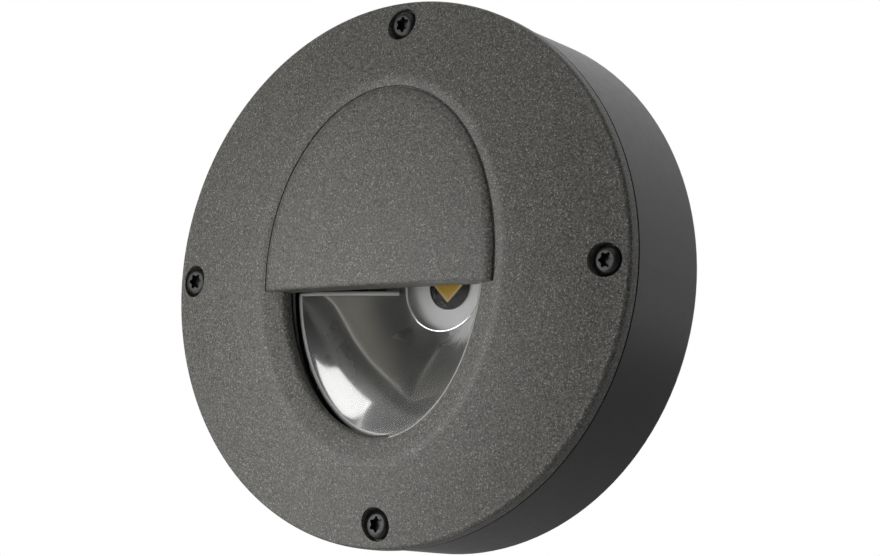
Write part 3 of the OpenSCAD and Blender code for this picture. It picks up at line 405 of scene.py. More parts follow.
def coated_steel(name, base):
    """Black coated steel, a little worn on its high spots."""
    made = Finish(name, base, 0.34, metallic=0.2, coat_roughness=0.2, specular_ior_level=0.3)
    wear = made.noise(700, detail=4.0, roughness=0.65)
    worn = made.rise(wear, 0.58, 0.75)
    made.vary("Base Color", made.blend(worn * 0.35, base, tint(base, 5.0)))
    made.vary("Roughness", 0.26 + wear * 0.2)
    made.vary("Coat Weight", 0.15 - worn * 0.1)
    made.bump(wear, strength=0.12, distance=0.04 * MM)
    return made.material


def rubber(name, base):
    """Matt moulded rubber with a dusty bloom."""
    made = Finish(name, base, 0.72, specular_ior_level=0.08)
    bloom = made.noise(240, detail=3.0, roughness=0.6)
    dust = made.rise(bloom, 0.4, 0.8)
    made.vary("Base Color", made.blend(dust * 0.5, base, tint(base, 2.2)))
    made.vary("Roughness", 0.62 + bloom * 0.2)
    made.bump(made.noise(1800), strength=0.2, distance=0.04 * MM)
    return made.material


def plated_metal(name, base, roughness, stretch=None, metallic=1.0):
    """Plated or bare metal with fine draw lines and cloudy sheen."""
    made = Finish(name, base, roughness, metallic=metallic)
    made.mottle(80, base, 0.88, 1.0)
    drawn = made.noise(900, detail=3.0, roughness=0.6, stretch=stretch)
    made.vary("Roughness", roughness - 0.06 + drawn * 0.14)
    made.bump(drawn, strength=0.1, distance=0.02 * MM)
    return made.material


def polished_metal(name, base):
    """Bright polished and lightly hazed reflector metal."""
    made = Finish(name, base, 0.09, metallic=1.0)
    cloudy = made.rise(made.noise(45, detail=3.0, roughness=0.6), 0.3, 0.8)
    made.vary("Base Color", made.blend(cloudy, tint(base, 0.95), base))
    made.vary("Roughness", 0.1 + cloudy * 0.06)
    made.bump(made.noise(26, detail=1.0), strength=0.05, distance=0.2 * MM)
    made.haze(0.22 + cloudy * 0.12, base, 0.42)
    return made.material


def moulded_plastic(name, base, roughness=0.5, grain=900):
    """Moulded plastic with a fine spark texture."""
    made = Finish(name, base, roughness)
    made.mottle(40, base, 0.95, 1.04)
    skin = made.noise(grain, detail=3.0, roughness=0.6)
    made.vary("Roughness", roughness - 0.06 + skin * 0.12)
    made.bump(skin, strength=0.15, distance=0.04 * MM)
    return made.material


def clear_glass(name, base, alpha, roughness=0.04):
    """Clear glass or silicone with the faintest smears."""
    made = Finish(name, base, roughness, alpha=alpha, ior=1.5)
    smear = made.noise(35, detail=4.0, roughness=0.65)
    made.vary("Roughness", roughness + made.rise(smear, 0.45, 0.8) * 0.05)
    made.vary("Alpha", alpha + made.rise(smear, 0.5, 0.9) * 0.03)
    made.material.surface_render_method = "BLENDED"
    return made.material


def phosphor(name, base, border, half_diagonal, edge):
    """A square emitter, turned by 45 degrees, with a pale border and a fine crystalline grain."""
    made = Finish(name, base, 0.35, coat_weight=0.6)
    across = made.node("ShaderNodeSeparateXYZ", None, {0: made.place}, output="X")
    reach = (abs(across) + abs(across.beside("Z"))) / half_diagonal
    rim = made.rise(reach, 1.0 - edge, 1.0 - edge * 0.6)
    grain = made.noise(3000)
    body = made.blend(grain * 0.4, base, tint(base, 0.8))
    made.vary("Base Color", made.blend(rim, body, border))
    made.bump(grain, strength=0.15, distance=0.03 * MM)
    return made.material


# Mesh tools. Shapes are drawn with x to the right, y up and z out of the wall, and stood upright here.

# Edges are sharp where their faces meet at more than this, on castings and on round beads
SHARP = math.radians(38)
BEAD_SHARP = math.radians(60)
# Points nearer to each other than this become one
WELD = 0.0005 * MM
# A boolean that leaves a smaller share of the faces than this has failed
LEAST_LEFT = 0.25
# Sides of small and large cylinders, and the resolution of a bead's rounding
ROUND_SIDES = 96
FINE_SIDES = 192
BEAD_ROUNDING = 6


def stood(x, y, z):
    """A point of the bench drawing in its place on the wall."""
    return Vector((x, -z, y))


def put_in_scene(name, data):
    """A new object with this data, in the scene."""
    made = bpy.data.objects.new(name, data)
    bpy.context.scene.collection.objects.link(made)
    return made


def evaluated_mesh(piece):
    """A new mesh of an object as its modifiers or its bevel make it."""
    return bpy.data.meshes.new_from_object(piece.evaluated_get(bpy.context.evaluated_depsgraph_get()))


def settle(piece, sharp=SHARP):
    """Close doubles, turn faces outward and set smooth shading with sharp edges."""
    sheet = bmesh.new()
    sheet.from_mesh(piece.data)
    bmesh.ops.remove_doubles(sheet, verts=sheet.verts, dist=WELD)
    bmesh.ops.recalc_face_normals(sheet, faces=sheet.faces)
    for face in sheet.faces:
        face.smooth = True
    for edge in sheet.edges:
        edge.smooth = len(edge.link_faces) != 2 or edge.calc_face_angle(0.0) < sharp
    sheet.to_mesh(piece.data)
    sheet.free()
    piece.data.update()


def add_piece(name, points, faces, materials, marks=None):
    """A smooth mesh object, with a material's number for each face where marks are given."""
    mesh = bpy.data.meshes.new(name)
    mesh.from_pydata([stood(*p) for p in points], [], faces)
    for material in materials:
        mesh.materials.append(material)
    if marks:
        mesh.polygons.foreach_set("material_index", marks)
    piece = put_in_scene(name, mesh)
    settle(piece)
    return piece


def quarter_turns(steps):
    """Angles from 0 to 90 degrees."""
    return [math.radians(90 * k / steps) for k in range(steps + 1)]


def circle(radius, sides, x=0.0, y=0.0):
    """Points round a circle."""
    turns = [2 * math.pi * k / sides for k in range(sides)]
    return [(x + radius * math.cos(t), y + radius * math.sin(t)) for t in turns]


def four_places(half_w, half_h, first):
    """Four places on an oval, a quarter turn apart, from a first angle in degrees."""
    turns = [math.radians(first + 90 * k) for k in range(4)]
    return [(half_w * math.cos(t), half_h * math.sin(t)) for t in turns]


def band_faces(count, rows, loop):
    """Quads between neighbouring rings of count points."""
    quads = []
    for i in range(rows if loop else rows - 1):
        for j in range(count):
            k = (j + 1) % count
            up = (i + 1) % rows
            quads.append((i * count + j, i * count + k, up * count + k, up * count + j))
    return quads


def fan(first, count, tip, turned=False):
    """Triangles between a ring of count points and a tip."""
    pairs = [(first + j, first + (j + 1) % count) for j in range(count)]
    return [(b, a, tip) if turned else (a, b, tip) for a, b in pairs]


def prism(name, ring, low, high, material):
    """A block with a ring of points as its outline, between two distances from the wall."""
    count = len(ring)
    points = [(x, y, z) for z in (low, high) for x, y in ring]
    faces = band_faces(count, 2, False)
    faces += [tuple(range(count - 1, -1, -1)), tuple(range(count, 2 * count))]
    return add_piece(name, points, faces, [material])


def cylinder(name, radius, low, high, x, y, material, sides=ROUND_SIDES):
    """A round block, a boss or a tool, between two distances from the wall."""
    return prism(name, circle(radius, sides, x, y), low, high, material)


def combine(piece, others, operation):
    """Cut or join solids into a piece and drop the tools used."""
    for other in others:
        step = piece.modifiers.new(operation.lower(), "BOOLEAN")
        step.operation = operation
        step.solver = "MANIFOLD"
        step.object = other
    bpy.context.view_layer.update()
    result = evaluated_mesh(piece)
    if len(result.polygons) < LEAST_LEFT * len(piece.data.polygons):
        raise RuntimeError(f"{piece.name}: the solids did not combine")
    piece.modifiers.clear()
    piece.data = result
    for other in others:
        bpy.data.objects.remove(other)
    settle(piece)


def bead(name, line, radius, material, closed=False):
    """A round bead along a line, or round a loop."""
    curve = bpy.data.curves.new(name, "CURVE")
    curve.dimensions = "3D"
    curve.bevel_depth = radius
    curve.bevel_resolution = BEAD_ROUNDING
    curve.use_fill_caps = not closed
    spline = curve.splines.new("POLY")
    spline.use_cyclic_u = closed
    spline.points.add(len(line) - 1)
    for place, point in zip(line, spline.points):
        point.co = (*stood(*place), 1.0)
    holder = put_in_scene(name + "_line", curve)
    mesh = evaluated_mesh(holder)
    bpy.data.objects.remove(holder)
    mesh.materials.clear()
    mesh.materials.append(material)
    piece = put_in_scene(name, mesh)
    settle(piece, BEAD_SHARP)
    return piece


def place_on_root(piece, *nodes, slot=None):
    """Tie a piece to the body, and hide the solids it stands for."""
    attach(piece, "root")
    if nodes:
        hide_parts(*nodes)


def hide_from(piece, *rays):
    """Leave a piece out for some kinds of ray."""
    for ray in rays:
        setattr(piece, "visible_" + ray, False)


def let_light_through(clear):
    """Let a clear solid pass the light on to what it covers."""
    hide_from(clear, "shadow", "diffuse", "glossy")


def dress(material, *nodes):
    """Give carried-over solids their finish."""
    for name in nodes:
        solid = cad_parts[name]
        if not solid.material_slots:
            raise RuntimeError(f"{name} has no material slot")
        for slot in solid.material_slots:
            slot.material = material


# The cover casting


class CoverShape:
    """The cover's face and rings, from the settings."""

    around = 360
    # Steps over a rounded edge, the face outside the ridge, half the crest, the dish and the inside
    round_steps = 6
    face_steps = 16
    crest_steps = 6
    dish_steps = 4
    inside_steps = 4
    # The back's bevel, and how far the walls of the pocket and the rim slant on their way out
    back_bevel = 0.25 * MM
    pocket_slant = 0.3 * MM
    rim_slant = 2 * MM
    # The opening's edge carries the bright metal of a painted highlight from this side on, a side being one
    # degree, but for its last rings
    highlight_from = 278
    coated_rings = 2

    def __init__(self, cover):
        self.c = cover
        rise = cover.dome_rise
        self.sphere_r = (COVER_R**2 + rise**2) / (2 * rise)
        self.ridge_w = cover.opening_w + cover.dish
        self.ridge_h = cover.opening_h + cover.dish

    def dome(self, r):
        """Height of the dome above the side wall at a radius."""
        return math.sqrt(self.sphere_r**2 - r**2) - self.sphere_r + self.c.dome_rise

    def face(self, x, y, inward):
        """Height of the face, with the dish inside the ridge."""
        w = self.c.crest
        if inward <= -w:
            fall = 0.0
        elif inward >= w:
            fall = inward
        else:
            fall = (inward + w) ** 2 / (4 * w)
        return EDGE + self.dome(math.hypot(x, y)) - self.c.dish_slope * fall

    def inward(self, x, y):
        """About how far a place lies inside the ridge."""
        reach = math.hypot(x / self.ridge_w, y / self.ridge_h)
        return (1 - reach) * math.hypot(x, y) / reach

    def oval(self, half_w, half_h):
        """Points round an oval."""
        step = 2 * math.pi / self.around
        return [(half_w * math.cos(i * step), half_h * math.sin(i * step)) for i in range(self.around)]

    def flat(self, half_w, half_h, z):
        """A ring at one height."""
        return [(x, y, z) for x, y in self.oval(half_w, half_h)]

    def on_face(self, inward, share=0.0, sink=0.0):
        """A ring on the face: on the oval round the ridge, or part of the way out to the rim."""
        out = COVER_R - self.c.edge_round
        half_w = (self.ridge_w - inward) * (1 - share) + out * share
        half_h = (self.ridge_h - inward) * (1 - share) + out * share
        level = -self.c.crest if share > 0 else inward
        return [(x, y, self.face(x, y, level) - sink) for x, y in self.oval(half_w, half_h)]

    def under(self, half_w, half_h):
        """A ring on the inside of the casting's skin."""
        depth = EDGE - self.c.wall
        return [(x, y, depth + self.dome(math.hypot(x, y))) for x, y in self.oval(half_w, half_h)]

    def outer_rings(self):
        """Rings from the back up the side, over the face and the ridge and down the dish."""
        c = self.c
        low = COVER_R - self.back_bevel
        rings = [self.flat(low, low, COVER_BACK), self.flat(COVER_R, COVER_R, COVER_BACK + self.back_bevel)]
        lift = self.dome(COVER_R - c.edge_round) + c.edge_round
        for t in quarter_turns(self.round_steps):
            r = COVER_R - c.edge_round * (1 - math.cos(t))
            rings.append(self.flat(r, r, EDGE - c.edge_round + lift * math.sin(t)))
        for k in range(self.face_steps - 1, 0, -1):
            rings.append(self.on_face(-c.crest, k / self.face_steps))
        for k in range(-self.crest_steps, self.crest_steps + 1):
            rings.append(self.on_face(c.crest * k / self.crest_steps))
        inner = c.dish - c.opening_round
        for k in range(1, self.dish_steps + 1):
            rings.append(self.on_face(c.crest + (inner - c.crest) * k / self.dish_steps))
        return rings

    def edge_rings(self):
        """Rings over the opening's rounded edge."""
        c = self.c
        rings = []
        for t in quarter_turns(self.round_steps)[1:]:
            inward = c.dish - c.opening_round + c.opening_round * math.sin(t)
            rings.append(self.on_face(inward, sink=c.opening_round * (1 - math.cos(t))))
        return rings

    def inner_rings(self):
        """Rings down the opening, round the pocket for the glass and back to the rim inside."""
        c = self.c
        pocket_w = c.opening_w + c.pocket_lap
        pocket_h = c.opening_h + c.pocket_lap
        out_w = pocket_w + c.pocket_wall
        out_h = pocket_h + c.pocket_wall
        shell = COVER_R - c.rim
        near = shell - self.rim_slant
        rings = [
            self.flat(c.opening_w, c.opening_h, SEAT),
            self.flat(pocket_w, pocket_h, SEAT),
            self.flat(pocket_w, pocket_h, GLASS_BACK),
            self.flat(out_w, out_h, GLASS_BACK),
            self.under(out_w + self.pocket_slant, out_h + self.pocket_slant),
        ]
        for k in range(1, self.inside_steps):
            share = k / self.inside_steps
            rings.append(self.under(out_w + (near - out_w) * share, out_h + (near - out_h) * share))
        return [*rings, self.under(near, near), self.flat(shell, shell, COVER_BACK)]

    def mesh(self):
        """Points and faces of the casting, and for each face whether it carries the painted highlight: 1, or
        0 where powder coated.
        """
        outer = self.outer_rings()
        edge = self.edge_rings()
        rings = [*outer, *edge, *self.inner_rings()]
        faces = band_faces(self.around, len(rings), True)
        first = len(outer) - 1
        # The bare and worn rings and sides are the bright metal of a painted highlight line on the lower
        # right
        bare = range(first, first + len(edge) - self.coated_rings)
        worn = range(self.highlight_from, self.around)
        marks = [int(i // self.around in bare and i % self.around in worn) for i in range(len(faces))]
        return [p for ring in rings for p in ring], faces, marks


# Steps along the hood's arch and its lower edge, over its bevel, and from there to the middle of its face
ARCH_STEPS = 200
FOOT_STEPS = 60
BEVEL_STEPS = 12
HOOD_STEPS = 26


def hood_outline(half_w, top, drop):
    """Half an oval over a straight lower edge, from the arch's right end."""
    low = -math.asin(drop / top)
    turns = [low + (math.pi - 2 * low) * i / ARCH_STEPS for i in range(ARCH_STEPS + 1)]
    arch = [(half_w * math.cos(t), top * math.sin(t)) for t in turns]
    reach = half_w * math.cos(low)
    return arch + [(reach * (2 * i / FOOT_STEPS - 1), -drop) for i in range(1, FOOT_STEPS)]


def hood_solid(name, hood, outline, foot, sink, material, bevel_w=0.0, bevel_h=0.0, lip_w=0.0):
    """A block from a flat foot up to the domed face, sunk by a depth below it, with a rounded top edge."""
    half_w, top, drop = outline

    def face(x, y):
        return CROWN - x**2 / (2 * hood.across_r) - y**2 / (2 * hood.face_r) - sink

    rows = [[(x, y, foot) for x, y in hood_outline(half_w, top, drop)]]
    for t in quarter_turns(BEVEL_STEPS) if bevel_w else (0.0,):
        draw = 1 - math.cos(t)
        drawn = hood_outline(half_w - bevel_w * draw, top - bevel_w * draw, drop - lip_w * draw)
        rows.append([(x, y, face(x, y) - bevel_h * (1 - math.sin(t))) for x, y in drawn])
    flat = hood_outline(half_w - bevel_w, top - bevel_w, drop - lip_w)
    middle = top / 2
    for k in range(1, HOOD_STEPS):
        share = k / HOOD_STEPS
        inset = [(x * (1 - share), y * (1 - share) + middle * share) for x, y in flat]
        rows.append([(x, y, face(x, y)) for x, y in inset])
    count = len(flat)
    points = [p for row in rows for p in row]
    tip = len(points)
    points += [(0.0, middle, face(0.0, middle)), (0.0, middle, foot)]
    faces = band_faces(count, len(rows), False)
    faces += fan(tip - count, count, tip)
    faces += fan(0, count, tip + 1, turned=True)
    return add_piece(name, points, faces, [material])


class WALLSPOT_OT_cover(bpy.types.Operator):
    """Build the cover casting with its ridge, dish, opening, hood and counterbores"""

    bl_idname = "wallspot.cover"
    bl_label = "Cover Casting"

    # Colour of the bright metal that paints a highlight line on the lower right of the opening's edge
    highlight_metal_tone = (0.85, 0.85, 0.83)
    # The hood starts this far in front of the glass gasket, and its hollow this far behind
    hood_foot = 0.4 * MM
    hollow_foot = 1.0 * MM
    # The hollow's room round the opening, the wall round a counterbore and how far it stands proud
    hollow_clear = 0.2 * MM
    boss_wall = 1.0 * MM
    boss_proud = 0.15 * MM

    def execute(self, context):
        cover = context.scene.wallspot_cover
        hood = context.scene.wallspot_hood
        coat = powder_coat("cover_powder_coat", cover.paint, cover.fleck_and_glint)
        # The opening's edge gets a painted highlight: bright metal on its lower right only
        edge = highlight_edge_metal("opening_edge_painted_highlight", self.highlight_metal_tone)
        shape = CoverShape(cover)
        points, faces, marks = shape.mesh()
        casting = add_piece("cover_casting", points, faces, [coat, edge], marks)
        out = cover.pocket_lap + cover.ear_out
        ears = four_places(cover.opening_w + out, cover.opening_h + out, 45)
        screws = four_places(cover.screw_ring, cover.screw_ring, 0)
        outline = (cover.opening_w + hood.side_lap, cover.opening_h + hood.top_lap, hood.drop)
        combine(casting, self.added(cover, hood, outline, screws, ears, coat), "UNION")
        groove = self.groove(hood, shape, outline, coat)
        combine(casting, [*self.taken(cover, hood, screws, ears, coat), groove], "DIFFERENCE")
        place_on_root(casting, "front_cover", slot="cover_paint")
        return {"FINISHED"}

    def added(self, cover, hood, outline, screws, ears, coat):
        """The hood's block and the bosses of the screws and of the glass frame's screws."""
        block = hood_solid(
            "hood_block", hood, outline, SEAT + self.hood_foot, 0.0, coat,
            hood.bevel_w, hood.bevel_h, hood.lip_round,
        )
        made = [block]
        for x, y in screws:
            reach = cover.bore + self.boss_wall
            made.append(cylinder("boss", reach, COVER_BACK, EDGE + self.boss_proud, x, y, coat))
        for x, y in ears:
            made.append(cylinder("ear", cover.ear_r, GLASS_BACK, EDGE + cover.wall, x, y, coat))
        return made

    def taken(self, cover, hood, screws, ears, coat):
        """The hood's hollow, the counterbores with their holes and the tapped holes."""
        outline = (
            cover.opening_w + self.hollow_clear, cover.opening_h + self.hollow_clear, hood.drop - hood.wall
        )
        made = [hood_solid("hollow", hood, outline, SEAT - self.hollow_foot, hood.wall, coat)]
        for x, y in screws:
            made.append(cylinder("bore", cover.bore, SCREW_TOP - cover.seat_depth, CROWN, x, y, coat))
            made.append(cylinder("hole", cover.hole, COVER_BACK - MM, CROWN, x, y, coat))
        for x, y in ears:
            end = GLASS_BACK + cover.tap_depth
            made.append(cylinder("tapping", cover.tap_r, GLASS_BACK - MM, end, x, y, coat))
        return made

    def groove(self, hood, shape, outline, coat):
        """The tool for the fine groove along the foot of the hood's arch."""
        arch = hood_outline(*outline)[:ARCH_STEPS + 1]
        line = [(x, y, shape.face(x, y, shape.inward(x, y))) for x, y in arch]
        return bead("groove", line, hood.groove, coat)


class WALLSPOT_OT_housing(bpy.types.Operator):
    """Give the housing drum its smooth satin powder coat"""

    bl_idname = "wallspot.housing"
    bl_label = "Housing"

    def execute(self, context):
        dress(satin_paint("housing_satin_coat", context.scene.wallspot_finish.housing), "housing")
        return {"FINISHED"}


class WALLSPOT_OT_fasteners(bpy.types.Operator):
    """Finish the black cover screws and the plated screws inside"""

    bl_idname = "wallspot.fasteners"
    bl_label = "Screws"

    def execute(self, context):
        finish = context.scene.wallspot_finish
        dress(coated_steel("black_screw_steel", finish.black_steel), "cover_screws")
        dress(
            plated_metal("zinc_screw_plating", finish.zinc, roughness=0.28),
            "retainer_screws", "reflector_screws", "board_screws", "spreader_screws", "driver_screws",
            "terminal_screws", "terminal_fixing_screws",
        )
        dress(plated_metal("brass_metal", finish.brass, roughness=0.3), "earth_screw", "terminal_clamps")
        return {"FINISHED"}


class WALLSPOT_OT_seals(bpy.types.Operator):
    """Finish the gaskets and the cable grommet in rubber, and add the cover gasket's pressed-out edge"""

    bl_idname = "wallspot.seals"
    bl_label = "Gaskets and Grommet"

    lip_sides = 360

    def execute(self, context):
        finish = context.scene.wallspot_finish
        black = rubber("seal_rubber", finish.rubber)
        dress(black, "cover_gasket", "glass_gasket", "cable_grommet")
        middle = (COVER_BACK + back_of("cover_gasket")) / 2
        ring = [(x, y, middle) for x, y in circle(COVER_R - finish.lip_set_back, self.lip_sides)]
        lip = bead("gasket_lip", ring, finish.lip_r, black, closed=True)
        place_on_root(lip, slot="seal_rubber")
        return {"FINISHED"}


class WALLSPOT_OT_window(bpy.types.Operator):
    """Finish the window glass and the frame that holds it"""

    bl_idname = "wallspot.window"
    bl_label = "Window"

    def execute(self, context):
        finish = context.scene.wallspot_finish
        sheet_steel = plated_metal("retainer_sheet", finish.steel, roughness=0.35, stretch=(1.0, 1.0, 12.0))
        dress(clear_glass("window_glass_clear", finish.glass, alpha=0.05), "window_glass")
        let_light_through(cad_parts["window_glass"])
        dress(sheet_steel, "glass_retainer")
        return {"FINISHED"}


class BowlShape:
    """The reflector bowl: from the round hole out to the oval rim."""

    around = 220
    up = 90
    # The wall's outer side lies lower than its inner side by this share of the wall
    lean = 0.75
    # The bowl starts a little outside and behind the hole's edge, inside the collar
    start_out = 0.15 * MM
    start_back = 0.3 * MM
    # The rolled edge starts at this step of the lips
    roll_from = 8
    # The hollow reaches into the wall by this, and its straight side lies at this share of the hole
    wall_bite = 0.2 * MM
    hollow_share = 0.25

    def __init__(self, reflector):
        self.r = reflector
        self.start_r = reflector.hole_r + self.start_out
        self.start_z = reflector.hole_z - self.start_back
        lip = reflector.lip_angle
        sweep = math.pi - 2 * lip
        self.turns = [math.pi + lip + sweep * j / self.around for j in range(self.around + 1)]

    def growth(self, s):
        """Share of the way out at a share of the way up."""
        return 1 - (1 - s) ** self.r.power

    def point(self, s, t, out):
        """A point of the inner or outer surface."""
        g = self.growth(s)
        half_w = self.start_r + (self.r.rim_w - self.start_r) * g
        half_h = self.start_r + (self.r.rim_h - self.start_r) * g
        reach = half_w * half_h / math.hypot(half_h * math.cos(t), half_w * math.sin(t)) + out
        z = self.start_z + (RIM - self.start_z) * s - self.lean * out
        return reach * math.cos(t), reach * math.sin(t), z

    def section(self, t):
        """The wall's closed section at one angle."""
        inner = [self.point(i / self.up, t, 0.0) for i in range(self.up + 1)]
        outer = [self.point(i / self.up, t, self.r.wall) for i in range(self.up, -1, -1)]
        return inner + outer

    def mesh(self):
        """Points and faces of the closed shell."""
        rows = [self.section(t) for t in self.turns]
        count = len(rows[0])
        faces = band_faces(count, len(rows), False)
        last = (len(rows) - 1) * count
        for j in range(count // 2 - 1):
            quad = (j, j + 1, count - 2 - j, count - 1 - j)
            faces.append(quad)
            faces.append(tuple(last + k for k in reversed(quad)))
        return [p for row in rows for p in row], faces

    def edge(self, sink):
        """The line of the rolled edge: out along one lip, round the rim and back along the other."""
        steps = range(self.roll_from, self.up)
        line = [self.point(i / self.up, self.turns[0], 0.0) for i in steps]
        line += [self.point(1.0, t, 0.0) for t in self.turns]
        line += [self.point(i / self.up, self.turns[-1], 0.0) for i in reversed(steps)]
        return [(x, y, z - sink) for x, y, z in line]

    def hollow(self):
        """What the bowl holds free of the ears' arms, as a closed solid that reaches just past the rim."""
        rows = []
        for i in range(self.up + 2):
            past = MM if i > self.up else 0.0
            row = []
            for t in self.turns:
                x, y, z = self.point(min(i / self.up, 1.0), t, 0.0)
                stretch = 1 + self.wall_bite / math.hypot(x, y)
                row.append((x * stretch, y * stretch, z + past))
            rows.append([*row, (0.0, self.r.hole_r * self.hollow_share, row[0][2])])
        count = len(rows[0])
        faces = band_faces(count, len(rows), False)
        faces.append(tuple(range(count)))
        faces.append(tuple((len(rows) - 1) * count + k for k in reversed(range(count))))
        return [p for row in rows for p in row], faces


class WALLSPOT_OT_reflector(bpy.types.Operator):
    """Build the polished half-oval reflector with its collar, fixing ears, rolled edge and apron"""

    bl_idname = "wallspot.reflector"
    bl_label = "Reflector"

    def execute(self, context):
        settings = context.scene.wallspot_reflector
        metal = polished_metal("reflector_polish", settings.metal)
        shape = BowlShape(settings)
        bowl = add_piece("reflector_bowl", *shape.mesh(), [metal])
        outer = settings.hole_r + settings.collar_w
        low = settings.hole_z - settings.collar_t
        collar = cylinder("collar", outer, low, shape.start_z, 0, 0, metal, FINE_SIDES)
        combine(bowl, [collar, *self.ears(settings, shape, metal)], "UNION")
        hole = cylinder("hole", settings.hole_r, 0, settings.hole_z + MM, 0, 0, metal, FINE_SIDES)
        combine(bowl, [hole], "DIFFERENCE")
        place_on_root(bowl, "reflector", slot="reflector_metal")
        # Matt white, not metallic: the rolled edge's bright line is a painted highlight
        rolled = plated_metal("reflector_edge_painted_highlight", settings.metal, roughness=0.35, metallic=0.0)
        line = shape.edge(settings.roll)
        place_on_root(bead("reflector_rolled_edge", line, settings.roll, rolled), slot="reflector_metal")
        place_on_root(self.apron(settings), slot="reflector_metal")
        return {"FINISHED"}

    def apron(self, settings):
        """The half-oval plate behind the hood, which turns the light back into the bowl."""
        ring = hood_outline(settings.apron_w, settings.apron_h, settings.apron_drop)
        lacquer = moulded_plastic("reflector_apron_lacquer", settings.apron, roughness=0.35)
        front = settings.apron_z + settings.apron_t
        return prism("reflector_apron", ring, settings.apron_z, front, lacquer)

    def ears(self, settings, shape, metal):
        """The two arms with a drilled ear at each end, under the screws' heads."""
        low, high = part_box("reflector_screws")
        ring_x = high.x - settings.screw_head
        ring_y = (low.z + high.z) / 2
        base = settings.hole_z + settings.ear_lift
        top = base + settings.ear_t
        made = []
        for side in (-1, 1):
            x, y = side * ring_x, ring_y
            reach = math.hypot(x, y)
            along = Vector((x, y)) / reach
            across = Vector((-along.y, along.x)) * settings.ear_w / 2
            near = along * settings.hole_r
            far = along * reach
            corners = [near - across, far - across, far + across, near + across]
            arm = prism("arm", corners, base, top, metal)
            combine(arm, [cylinder("ear", settings.ear_r, base, top, x, y, metal)], "UNION")
            hollow = add_piece("bowl_hollow", *shape.hollow(), [metal])
            drill = cylinder("drill", settings.ear_hole, base - MM, top + MM, x, y, metal)
            combine(arm, [hollow, drill], "DIFFERENCE")
            made.append(arm)
        return made


class WALLSPOT_OT_light_source(bpy.types.Operator):
    """Finish the LED, its board, the thermal pad and the heat spreader, and build the LED's clear cap"""

    bl_idname = "wallspot.light_source"
    bl_label = "Light Source"

    base_black = (0.02, 0.02, 0.021)
    # The emitter's pale border, as a share of its half diagonal
    border = 0.24
    # Steps of the cap's foot and dome
    foot_steps = 6
    dome_steps = 24

    def execute(self, context):
        finish = context.scene.wallspot_finish
        shades = (finish.phosphor, finish.phosphor_edge)
        emitter = phosphor("emitter_phosphor", *shades, half_width_of("led_chip"), self.border)
        base = moulded_plastic("led_base_black", self.base_black, roughness=0.22, grain=1600)
        drawn = (1.0, 14.0, 1.0)
        spreader = plated_metal("spreader_aluminium", finish.aluminium, roughness=0.32, stretch=drawn)
        dress(moulded_plastic("board_solder_mask", finish.board, roughness=0.4, grain=1400), "led_board")
        dress(base, "led_base")
        dress(emitter, "led_chip")
        dress(rubber("thermal_pad_soft", finish.pad), "thermal_pad")
        dress(spreader, "heat_spreader")
        place_on_root(self.cap(finish), "led_cap", slot="led_silicone")
        return {"FINISHED"}

    def cap(self, finish):
        """The clear cap: a shallow dome with a rounded foot, hollow over the emitter."""
        foot = back_of("led_cap")
        crown = front_of("led_cap")
        outer = half_width_of("led_cap")
        hollow_r = half_width_of("led_chip") + finish.cap_gap
        hollow_z = front_of("led_chip") + finish.cap_gap
        roll = finish.cap_roll
        profile = [(hollow_r * k / self.foot_steps, hollow_z) for k in range(1, self.foot_steps + 1)]
        profile += [(hollow_r, foot), (outer, foot)]
        for t in quarter_turns(self.foot_steps)[1:]:
            profile.append((outer - roll * (1 - math.cos(t)), foot + roll * math.sin(t)))
        profile += self.dome(crown, crown - foot, outer, *profile[-1])
        sides = ROUND_SIDES
        points = [(x, y, z) for r, z in profile for x, y in circle(r, sides)]
        tip = len(points)
        points += [(0.0, 0.0, hollow_z), (0.0, 0.0, crown)]
        faces = band_faces(sides, len(profile), False)
        faces += fan(0, sides, tip, turned=True)
        faces += fan(tip - sides, sides, tip + 1)
        silicone = clear_glass("led_cap_silicone", finish.cap, alpha=0.06, roughness=0.05)
        piece = add_piece("silicone_cap", points, faces, [silicone])
        let_light_through(piece)
        return piece

    def dome(self, crown, rise, outer, edge_r, edge_z):
        """The cap's profile from the foot's edge towards its crown, as part of a sphere."""
        sphere_r = (outer**2 + rise**2) / (2 * rise)
        low = math.sqrt(sphere_r**2 - edge_r**2)
        line = []
        for k in range(1, self.dome_steps):
            r = edge_r * (1 - k / self.dome_steps)
            sag = math.sqrt(sphere_r**2 - r**2) - low
            line.append((r, edge_z + (crown - edge_z) * sag / (sphere_r - low)))
        return line


class WALLSPOT_OT_driver(bpy.types.Operator):
    """Finish the LED driver's case, lid and circuit"""

    bl_idname = "wallspot.driver"
    bl_label = "Driver"

    def execute(self, context):
        finish = context.scene.wallspot_finish
        dress(moulded_plastic("driver_case_plastic", finish.plastic), "driver_case", "driver_lid")
        circuit = moulded_plastic("driver_circuit_mask", finish.circuit, roughness=0.3, grain=1200)
        dress(circuit, "driver_circuit")
        return {"FINISHED"}


class WALLSPOT_OT_terminals(bpy.types.Operator):
    """Finish the terminal block and the earth tag"""

    bl_idname = "wallspot.terminals"
    bl_label = "Terminals"

    def execute(self, context):
        finish = context.scene.wallspot_finish
        block = moulded_plastic("terminal_plastic", tint(finish.plastic, 0.96), roughness=0.45)
        dress(block, "terminal_block")
        dress(plated_metal("tinned_tag_metal", tint(finish.steel, 1.2), roughness=0.3), "earth_tag")
        return {"FINISHED"}


class WALLSPOT_OT_leads(bpy.types.Operator):
    """Finish the inner leads, each in its own colour"""

    bl_idname = "wallspot.leads"
    bl_label = "Inner Leads"

    def execute(self, context):
        finish = context.scene.wallspot_finish
        leads = {
            "live_lead": finish.live,
            "neutral_lead": finish.neutral,
            "earth_lead": finish.earth,
            "led_lead_plus": finish.plus,
            "led_lead_minus": finish.minus,
        }
        for node, shade in leads.items():
            dress(moulded_plastic(node + "_insulation", shade, roughness=0.35, grain=1500), node)
        return {"FINISHED"}


# The studio


